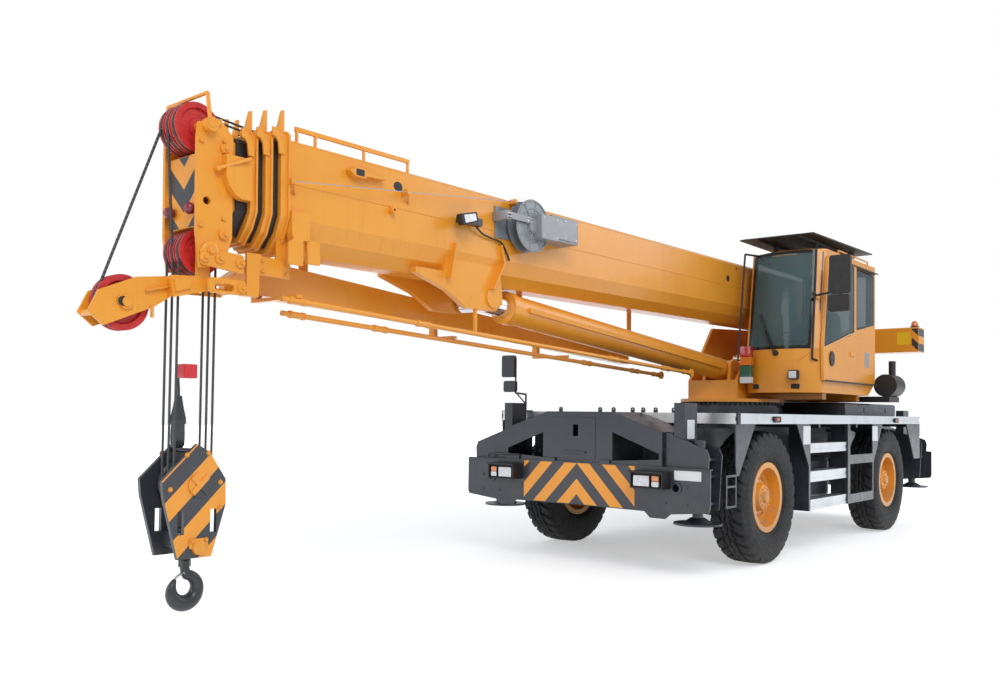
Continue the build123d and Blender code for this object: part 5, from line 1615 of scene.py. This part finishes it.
    def mouths(self, finish: Finishes) -> None:
        """A black ring in front of each collar, close round the next section: painted shade in the gap at
        each section's mouth.

        Args:
            finish: The crane's finishes.
        """
        for body, rear, front, index in self.collars:
            inset = index * SECTION_STEP
            loops = []
            for station, out in ((rear + 1, 3), (front, 3), (front, 11), (rear + 1, 11)):
                w = BOOM_HALF_W - inset + out
                top, low = BOOM_TOP - inset + out, BOOM_BOTTOM + inset - out
                half = [(w - 30, top), (w, top - 30), (w, BOOM_BEND), (w * 0.78, low + 95), (w * 0.40, low)]
                loop = np.array(half + [(-y, z) for y, z in reversed(half)], float)
                loops.append(on_boom(station, loop[:, 0], loop[:, 1]))
            # The ring is black painted shade, where the gap between the sections lies in shadow.
            ring = from_grid(f"mouth_ring_{index}", np.stack(loops), around=True, along=True)
            fit(ring, finish.black, body)

    def hoist_runs(self, finish: Finishes) -> None:
        """The hoist ropes over the boom, one run inside the next, so that they stay whole as it runs out.

        The height is level to the boom's mouth, and from there a straight line to the upper sheave's top.

        Args:
            finish: The crane's finishes.
        """
        mouth = self.rope_runs[0][2]
        rise = UPPER_SHEAVE[1] + UPPER_R - ROPE_INSET - self.rope_height
        for index, (body, rear, front) in enumerate(self.rope_runs):
            s = np.linspace(rear, front, 30)
            h = self.rope_height + np.clip((s - mouth) / (UPPER_SHEAVE[0] - mouth), 0, 1) * rise
            runs = [rod("run", on_boom(s, y, h), ROPE_R - 0.4 * index, 8) for y in (-FALL_PITCH, 0)]
            fit(merged(f"hoist_run_{index}", runs), finish.rope, body)

    def pendant_rods(self, finish: Finishes) -> None:
        """Couplings on the stowed rods, and their rear lengths down to the eyes at the jib's tail.

        Each rod is the straight line through its two ends, carried on to its tail.

        Args:
            finish: The crane's finishes.
        """
        parts = []
        for y, front, rear, tail, joints in self.rods:
            slope = (front[1] - rear[1]) / (front[0] - rear[0])
            s = np.linspace(rear[0] + 4, tail, 12)
            parts.append(rod("rod", on_boom(s, y, rear[1] + (s - rear[0]) * slope), 20, 16))
            for joint in joints + (tail + 90, tail + 560):
                s = joint + np.array([-74, -70, -44, -40, 40, 44, 70, 74.0])
                wide = np.array([22, 29, 29, 25, 25, 29, 29, 22.0])
                parts.append(rod("coupling", on_boom(s, y, rear[1] + (s - rear[0]) * slope), wide, 16))
            low = rear[1] + (tail - rear[0]) * slope
            parts.append(slab("eye", disc((tail - 30, low), 46), 26, boom_side(y + 13), 4))
        fit(merged("rod_couplings", parts), finish.orange, "boom")

    def jib_root(self, finish: Finishes) -> None:
        """The jib's front end, which narrows beside the falls' lanes, and its plates on the boom's side.

        Args:
            finish: The crane's finishes.
        """
        loops = []
        for s, y0, y1, low, top in self.root_rows:
            loop = rounded([(y0, low), (y1, low), (y1, top), (y0, top)], 12)
            loops.append(on_boom(s, loop[:, 0], loop[:, 1]))
        ends = [np.broadcast_to(loops[k].mean(0), loops[k].shape) for k in (0, -1)]
        body = from_grid("root", np.stack([ends[0], *loops, ends[1]]), around=True)
        outline = rounded([(9363, -530), (9627, -526), (9627, -399), (9363, -405)], 14)
        plate = slab("plate", outline, 22, boom_side(205), 3)
        outline = rounded([(9625, -680), (9720, -675), (9718, -392), (9609, -388)], 10)
        rib = slab("rib", outline, 24, boom_side(216), 3)
        hanger = slab("hanger", square((9385, -425), (9478, -245), 8), 20, boom_side(202), 3)
        fit(merged("jib_root", [body, plate, rib, hanger]), finish.orange, "boom")
        spots = [(s, 206, h) for s in (9400, 9590) for h in (-430, -500)]
        fit(bolts("jib_root_bolts", spots, (0, 1, 0), 11, 10, on_boom), finish.orange, "boom")


@dataclass
class HeadTrim:
    """Chevrons, ropes and pins of the boom head and the nose."""

    pin_face: float = 205.0
    pins_at: tuple[Point, ...] = ((9988, -415, 58), (9893, -300, 34), (9893, 250, 30))
    bolts_at: Outline = ((9890, 300), (9890, 180), (9890, -200), (10052, 270), (10052, -262))
    knobs_at: Outline = ((9927, -460), (10033, -462), (9775, -470), (9760, -632))
    nose_hole: Spot = (10490, -771)

    def build(self, finish: Finishes) -> None:
        """Makes the plate on the head's front, the ropes round the sheaves, the pins and the links.

        Args:
            finish: The crane's finishes.
        """
        panel = slab("head_chevrons", square((-172, -256), (172, 200), 3), 4,
                     lambda a, b, c: on_boom(HEAD_FRONT + 3 - c, a, b))
        fit(panel, finish.head, "boom_tip")
        self.ropes(finish)
        self.pins(finish)
        self.links(finish)

    def on_sheave(self, middle: Spot, radius: float, start: float, end: float,
                  steps: int) -> tuple[Array, Array]:
        """Stations and heights round a sheave's groove: middle + (radius - inset) * (cos t, sin t)."""
        t = np.linspace(start, end, steps)
        return (middle[0] + (radius - ROPE_INSET) * np.cos(t), middle[1] + (radius - ROPE_INSET) * np.sin(t))

    def ropes(self, finish: Finishes) -> None:
        """Rope that lies in the sheaves' grooves, the front fall and the taut rope to the nose sheave.

        Args:
            finish: The crane's finishes.
        """
        pieces = []
        for y in (-FALL_PITCH, 0, FALL_PITCH):
            s, h = self.on_sheave(UPPER_SHEAVE, UPPER_R, -0.5, 2.4, 36)
            pieces.append(rod("upper", on_boom(s, y, h), ROPE_R, 10))
            s, h = self.on_sheave(LOWER_SHEAVE, LOWER_R, -1.6, 1.9, 36)
            pieces.append(rod("lower", on_boom(s, y, h), ROPE_R, 10))
        fit(merged("sheave_ropes", pieces), finish.rope, "boom_tip")
        fall = [(UPPER_SHEAVE[0] + UPPER_R - ROPE_INSET, 0, UPPER_SHEAVE[1]),
                (LOWER_SHEAVE[0] + LOWER_R - ROPE_INSET, 0, LOWER_SHEAVE[1])]
        s, y, h = np.linspace(fall[0], fall[1], 6).T
        fit(rod("front_fall", on_boom(s, y, h), ROPE_R, 10), finish.rope, "boom_tip")
        start = (UPPER_SHEAVE[0] + 150, -FALL_PITCH, UPPER_SHEAVE[1] + 8)
        end = (NOSE_SHEAVE[0] + 118, 0, NOSE_SHEAVE[1] + 118)
        s, y, h = np.linspace(start, end, 8).T
        round_s, round_h = self.on_sheave(NOSE_SHEAVE, NOSE_R, 0.78, -1.1, 18)
        s, y, h = np.append(s, round_s), np.append(y, 0 * round_s), np.append(h, round_h)
        fit(rod("nose_rope", on_boom(s, y, h), ROPE_R, 10), finish.rope, "boom_tip")

    def pins(self, finish: Finishes) -> None:
        """Large pin heads and the bolts on the head's side plates.

        Args:
            finish: The crane's finishes.
        """
        y = self.pin_face
        parts = []
        for s, h, r in self.pins_at:
            profile = [(-4, 0), (-4, r), (18, r), (24, r * 0.82), (24, r * 0.4), (40, r * 0.36), (42, 0)]
            parts += [turned("pin", profile, (s, side * y, h), (0, side, 0), 32, on_boom) for side in (1, -1)]
        fit(merged("head_pins", parts), finish.orange, "boom_tip")
        heads = bolts("head_bolts", [(s, y + 2, h) for s, h in self.bolts_at], (0, 1, 0), 12, 11, on_boom)
        fit(heads, finish.orange, "boom_tip")

    def links(self, finish: Finishes) -> None:
        """The lug and the slotted link that tie the nose to the head, their pins, and black discs of painted
        shade at the nose's eyes.

        Args:
            finish: The crane's finishes.
        """
        outline = rounded([(9743, -417), (9742, -541), (10056, -509), (10057, -400)], 20)
        lug = slab("lug", outline, 18, boom_side(223), 4)
        outline, slot = square((9727, -679), (10001, -581), 30), square((9818, -660), (9956, -615), 18)
        link = link_plate("link", outline, slot, 20, boom_side(222))
        profile = [(-2, 0), (-2, 34), (12, 34), (18, 28), (18, 14), (30, 12), (30, 0)]
        knobs = [turned("knob", profile, (s, 222, h), (0, 1, 0), 28, on_boom) for s, h in self.knobs_at]
        fit(merged("head_links", [lug, link, *knobs]), finish.orange, "boom_tip")
        # Black discs at the nose's hole on each side: painted shade in the hole.
        for side in (1, -1):
            eye = slab(f"nose_eye_{side}", disc(self.nose_hole, 30), 4, boom_side(89, side))
            fit(eye, finish.black, "boom_tip")


# Hook block details
@dataclass
class BlockTrim:
    """Keepers and bolts on the hook block, the forged hook, the wedge socket and the limit weight."""

    keeper_drop: float = 372.0
    bolts_at: Outline = ((-150, 10), (200, -20), (-60, 200), (90, 190), (-150, -150))
    bow_middle: float = 370.0
    bow_radius: float = 90.0
    bow_sizes: Outline = (
        (100, 32), (140, 38), (180, 43), (220, 48), (260, 52), (300, 50), (335, 42), (370, 30), (402, 15))

    def build(self, finish: Finishes) -> None:
        """Makes the small pieces that hang with the block.

        Args:
            finish: The crane's finishes.
        """
        x, z, out = FALL_X, BLOCK_PIN_Z, BLOCK_HALF_T
        height = z - self.keeper_drop
        parts = []
        for side in (1, -1):
            parts.append(slab("keeper", square((x - 66, height - 26), (x + 66, height + 38), 10), 12,
                              facing_y(out + 12, side), 3))
            parts.append(turned("boss", [(0, 0), (0, 46), (22, 44), (30, 30), (30, 0)],
                                (x, side * out, height - 22), (0, side, 0), 32))
        fit(merged("block_keepers", parts), finish.orange, "hook_block")
        heads = []
        for side, word in SIDES:
            spots = [(x + dx, side * (out + 12), z - 348) for dx in (-48, 48)]
            spots += [(x + dx, side * (out + 1), z + dz) for dx, dz in self.bolts_at]
            heads.append(bolts(f"block_bolts_{word}", spots, (0, side, 0), 12, 12))
        fit(merged("block_bolts", heads), finish.orange, "hook_block")
        self.socket(finish)
        self.hook(finish)

    def hook(self, finish: Finishes) -> None:
        """The forged hook: one round section that swells toward the bottom of its bow, with a sprung latch.

        The bow's path is middle + bend * (cos a, sin a); its thickness follows a smooth line by angle.

        Args:
            finish: The crane's finishes.
        """
        x, z, bend = FALL_X, self.bow_middle, self.bow_radius
        line = bow([(float(a), float(r), 0.0) for a, r in self.bow_sizes], 72)
        a = np.radians(line[:, 0])
        path = np.stack([x + bend * np.cos(a), z + bend * np.sin(a)], axis=-1)
        neck = (path[0, 0], path[0, 1], 32)
        stem = bow([(x, 758, 28), (x, 690, 28), (x, 600, 28), (x, 530, 29), (x - 3, 492, 30), neck], 30)
        end = path[-1] + np.array([(-0.6, 0.05), (-1.0, 0.09)]) * 9
        spine = np.vstack([stem[:-1, :2], path, end])
        wide = np.concatenate([stem[:-1, 2], line[:, 1], [12.0, 5.0]])
        forging = rod("forging", place(spine[:, 0], 0 * wide, spine[:, 1]), wide, 28)
        nut = turned("nut", [(0, 0), (0, 36), (4, 40), (44, 40), (48, 36), (48, 0)], (x, 0, 511), UP, 6)
        profile = [(0, 0), (0, 48), (4, 52), (30, 52), (34, 48), (34, 0)]
        collar = turned("collar", profile, (x, 0, 727), UP, 40)
        piece = painted(merged("forged_hook", [forging, nut, collar]), finish.forged)
        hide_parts("hook")
        ride(piece, "hook")
        arm = place(x + np.array([2, 30, 56, 70.0]), 0 * np.arange(4), z + np.array([108, 96, 82, 66.0]))
        latch = rod("latch_arm", arm, np.array([9, 8, 7, 6.0]), 14)
        pivot = turned("pivot", [(-22, 0), (-22, 14), (22, 14), (22, 0)], (x + 4, 0, z + 108), (0, 1, 0), 24)
        fit(merged("hook_latch", [latch, pivot]), finish.steel, "hook")

    def socket(self, finish: Finishes) -> None:
        """A wedge socket that tapers up to the dead rope, and the red weight that hangs beside it.

        Args:
            finish: The crane's finishes.
        """
        x = FALL_X + 70
        profile = [(0, 0), (0, 30), (20, 44), (70, 46), (150, 44), (160, 52), (190, 50), (260, 34), (330, 22),
                   (340, 0)]
        body = turned("socket", profile, (x, 0, 1270), UP, 4)
        rope = rod("dead_rope", place([x, x, x + 6], [0, 0, 0], [1560, 1640, 1716]), ROPE_R, 10)
        fit(merged("wedge_socket", [body, rope]), finish.forged, "hook_block")
        weight = slab("limit_weight", square((x - 106, 1716), (x - 10, 1806), 8), 90, facing_y(45), 6)
        fit(weight, finish.red, "hook_block")


# Stage
@dataclass
class Studio:
    """Floor, world, soft lamps and the photograph's camera."""

    eye: Point = (8.5645, 5.1891, 1.5105)
    azimuth: float = 0.699
    rise: float = 0.0304
    roll: float = 0.0125
    lens: float = 32.81
    shift_y: float = 0.039
    lamps: tuple[tuple[str, Point, float, float], ...] = (
        ("key", (9.0, 10.0, 11.0), 8.0, 900.0), ("fill", (14.0, -4.0, 6.0), 8.0, 380.0),
        ("back", (-10.0, 8.0, 9.0), 9.0, 420.0))
    look_at: Point = (0.5, 0, 1.5)
    floor_half: float = 80.0
    glow: tuple[float, ...] = (5.0, 13.0, 0.45, 1.2)

    def build(self) -> None:
        """Sets the stage up."""
        self.floor()
        self.world()
        for lamp in self.lamps:
            self.lamp(*lamp)
        self.camera()
        bpy.context.scene.view_settings.view_transform = "Standard"

    def floor(self) -> None:
        """A wide pale floor that keeps the shadow and shows white to the camera and to reflections.

        Its glow rises between two distances from the middle, in metres.
        """
        mesh, h = bpy.data.meshes.new("floor"), self.floor_half
        mesh.from_pydata([(-h, -h, 0), (h, -h, 0), (h, h, 0), (-h, h, 0)], [], [(0, 1, 2, 3)])
        floor = bpy.data.objects.new("floor", mesh)
        bpy.context.scene.collection.objects.link(floor)
        g = Graph("pale floor")
        path = g.add("ShaderNodeLightPath")
        seen = g.step("MAXIMUM", path.outputs["Is Camera Ray"],
                      g.step("MAXIMUM", path.outputs["Is Glossy Ray"], path.outputs["Is Transmission Ray"]))
        material = g.finish((0.82, 0.82, 0.82), 0.9)
        g.shader.inputs["Emission Color"].default_value = (1, 1, 1, 1)
        x, y, _ = g.axes()
        far = g.length(x, y)
        g.put(g.shader.inputs["Emission Strength"], g.times(seen, g.ramp(far, *self.glow)))
        floor.data.materials.append(material)

    def world(self) -> None:
        """White to the camera and to reflections, a plain soft sky to everything else."""
        world = bpy.data.worlds.new("studio sky")
        bpy.context.scene.world = world
        world.use_nodes = True
        tree = world.node_tree
        tree.nodes.clear()
        out = tree.nodes.new("ShaderNodeOutputWorld")
        path = tree.nodes.new("ShaderNodeLightPath")
        white, soft = tree.nodes.new("ShaderNodeBackground"), tree.nodes.new("ShaderNodeBackground")
        white.inputs[0].default_value, white.inputs[1].default_value = (1, 1, 1, 1), 1.0
        soft.inputs[0].default_value, soft.inputs[1].default_value = (0.86, 0.92, 1.0, 1), 0.62
        mix = tree.nodes.new("ShaderNodeMixShader")
        tree.links.new(path.outputs["Is Camera Ray"], mix.inputs[0])
        tree.links.new(soft.outputs[0], mix.inputs[1])
        tree.links.new(white.outputs[0], mix.inputs[2])
        tree.links.new(mix.outputs[0], out.inputs[0])

    def lamp(self, name: str, spot: Point, size: float, power: float) -> None:
        """A large soft lamp that looks at the crane's middle.

        Args:
            name: The lamp's name.
            spot: Its place in metres.
            size: Its width in metres.
            power: Its power in watts.
        """
        data = bpy.data.lights.new(name, "AREA")
        data.shape, data.size, data.energy = "DISK", size, power
        lamp = bpy.data.objects.new(name, data)
        lamp.location = spot
        lamp.rotation_euler = (Vector(self.look_at) - Vector(spot)).to_track_quat("-Z", "Y").to_euler()
        bpy.context.scene.collection.objects.link(lamp)

    def camera(self) -> None:
        """The camera stands where the photograph was taken from."""
        a, b, r = self.azimuth, self.rise, self.roll
        look = Vector((-math.cos(a) * math.cos(b), -math.sin(a) * math.cos(b), math.sin(b)))
        right = look.cross(Vector((0, 0, 1))).normalized()
        up = right.cross(look)
        right, up = math.cos(r) * right + math.sin(r) * up, -math.sin(r) * right + math.cos(r) * up
        data = bpy.data.cameras.new("camera")
        data.lens, data.sensor_width, data.sensor_fit = self.lens, 36.0, "HORIZONTAL"
        data.shift_y = self.shift_y
        data.clip_end = 300.0
        camera = bpy.data.objects.new("camera", data)
        turn = Matrix((right, up, -look)).transposed().to_4x4()
        camera.matrix_world = Matrix.Translation(self.eye) @ turn
        bpy.context.scene.collection.objects.link(camera)
        bpy.context.scene.camera = camera


@dataclass
class CarriedNodes:
    """Finishes for the nodes whose shape stays as it is."""

    nodes: dict[str, Piece]

    def dress(self, finish: Finishes) -> None:
        """Puts a finish in every node's material slots.

        Args:
            finish: The crane's finishes.
        """
        by_finish: dict[Material, tuple[str, ...]] = {
            finish.orange: ("turret_frame", "counterweight", "cab_roof", "cab_door", "boom_base",
                            "boom_section_2", "boom_section_3", "boom_tip", "nose", "jib", "lift_barrel"),
            finish.cabin: ("cab_shell",), finish.head_paint: ("boom_head",),
            finish.slate: ("chassis_frame", "deck", "engine_hood", "slew_ring", "axles", "skirts", "tanks",
                           "outrigger_boxes", "bumpers"),
            finish.aluminium: ("deck_edging", "steps"), finish.sheaves: ("head_sheaves",),
            finish.black: ("exhaust", "cab_rails", "cab_console", "cab_mirrors", "sunshade", "headlamps",
                           "engine"),
            finish.fittings: ("boom_fittings",), finish.rope: ("hoist_ropes", "winches"),
            finish.chrome: ("lift_rod",), finish.block: ("hook_block",),
            finish.forged: ("hook", "block_sheaves")}
        chosen = {name: material for material, names in by_finish.items() for name in names}
        for name, node in self.nodes.items():
            material = chosen.get(name)
            if material is None:
                material = finish.rim_orange if name.endswith("_rim") else finish.slate
            if name.endswith("_tyre"):
                material = finish.rubber
            for holder in node.material_slots:
                holder.material = material


def main() -> None:
    """Builds every sub-assembly in order."""
    logging.basicConfig(level=logging.INFO, format="%(name)s: %(message)s")
    finish = Finishes()
    Studio().build()
    CarriedNodes(frame["nodes"]).dress(finish)
    for end, way in ((1, "front"), (-1, "rear")):
        for side, word in SIDES:
            Tyre(f"{way}_{word}", end, side).build(finish)
            Wheel(f"{way}_{word}", end, side).build(finish)
    for assembly in (CabGlass(), BumperTrim(), SideTrim(), RingBolts(), CabTrim(), Seat(), Counterweight(),
                     BoomTrim(), HeadTrim(), BlockTrim()):
        assembly.build(finish)
    LOG.info("the crane is dressed")


if __name__ == "__main__":
    main()
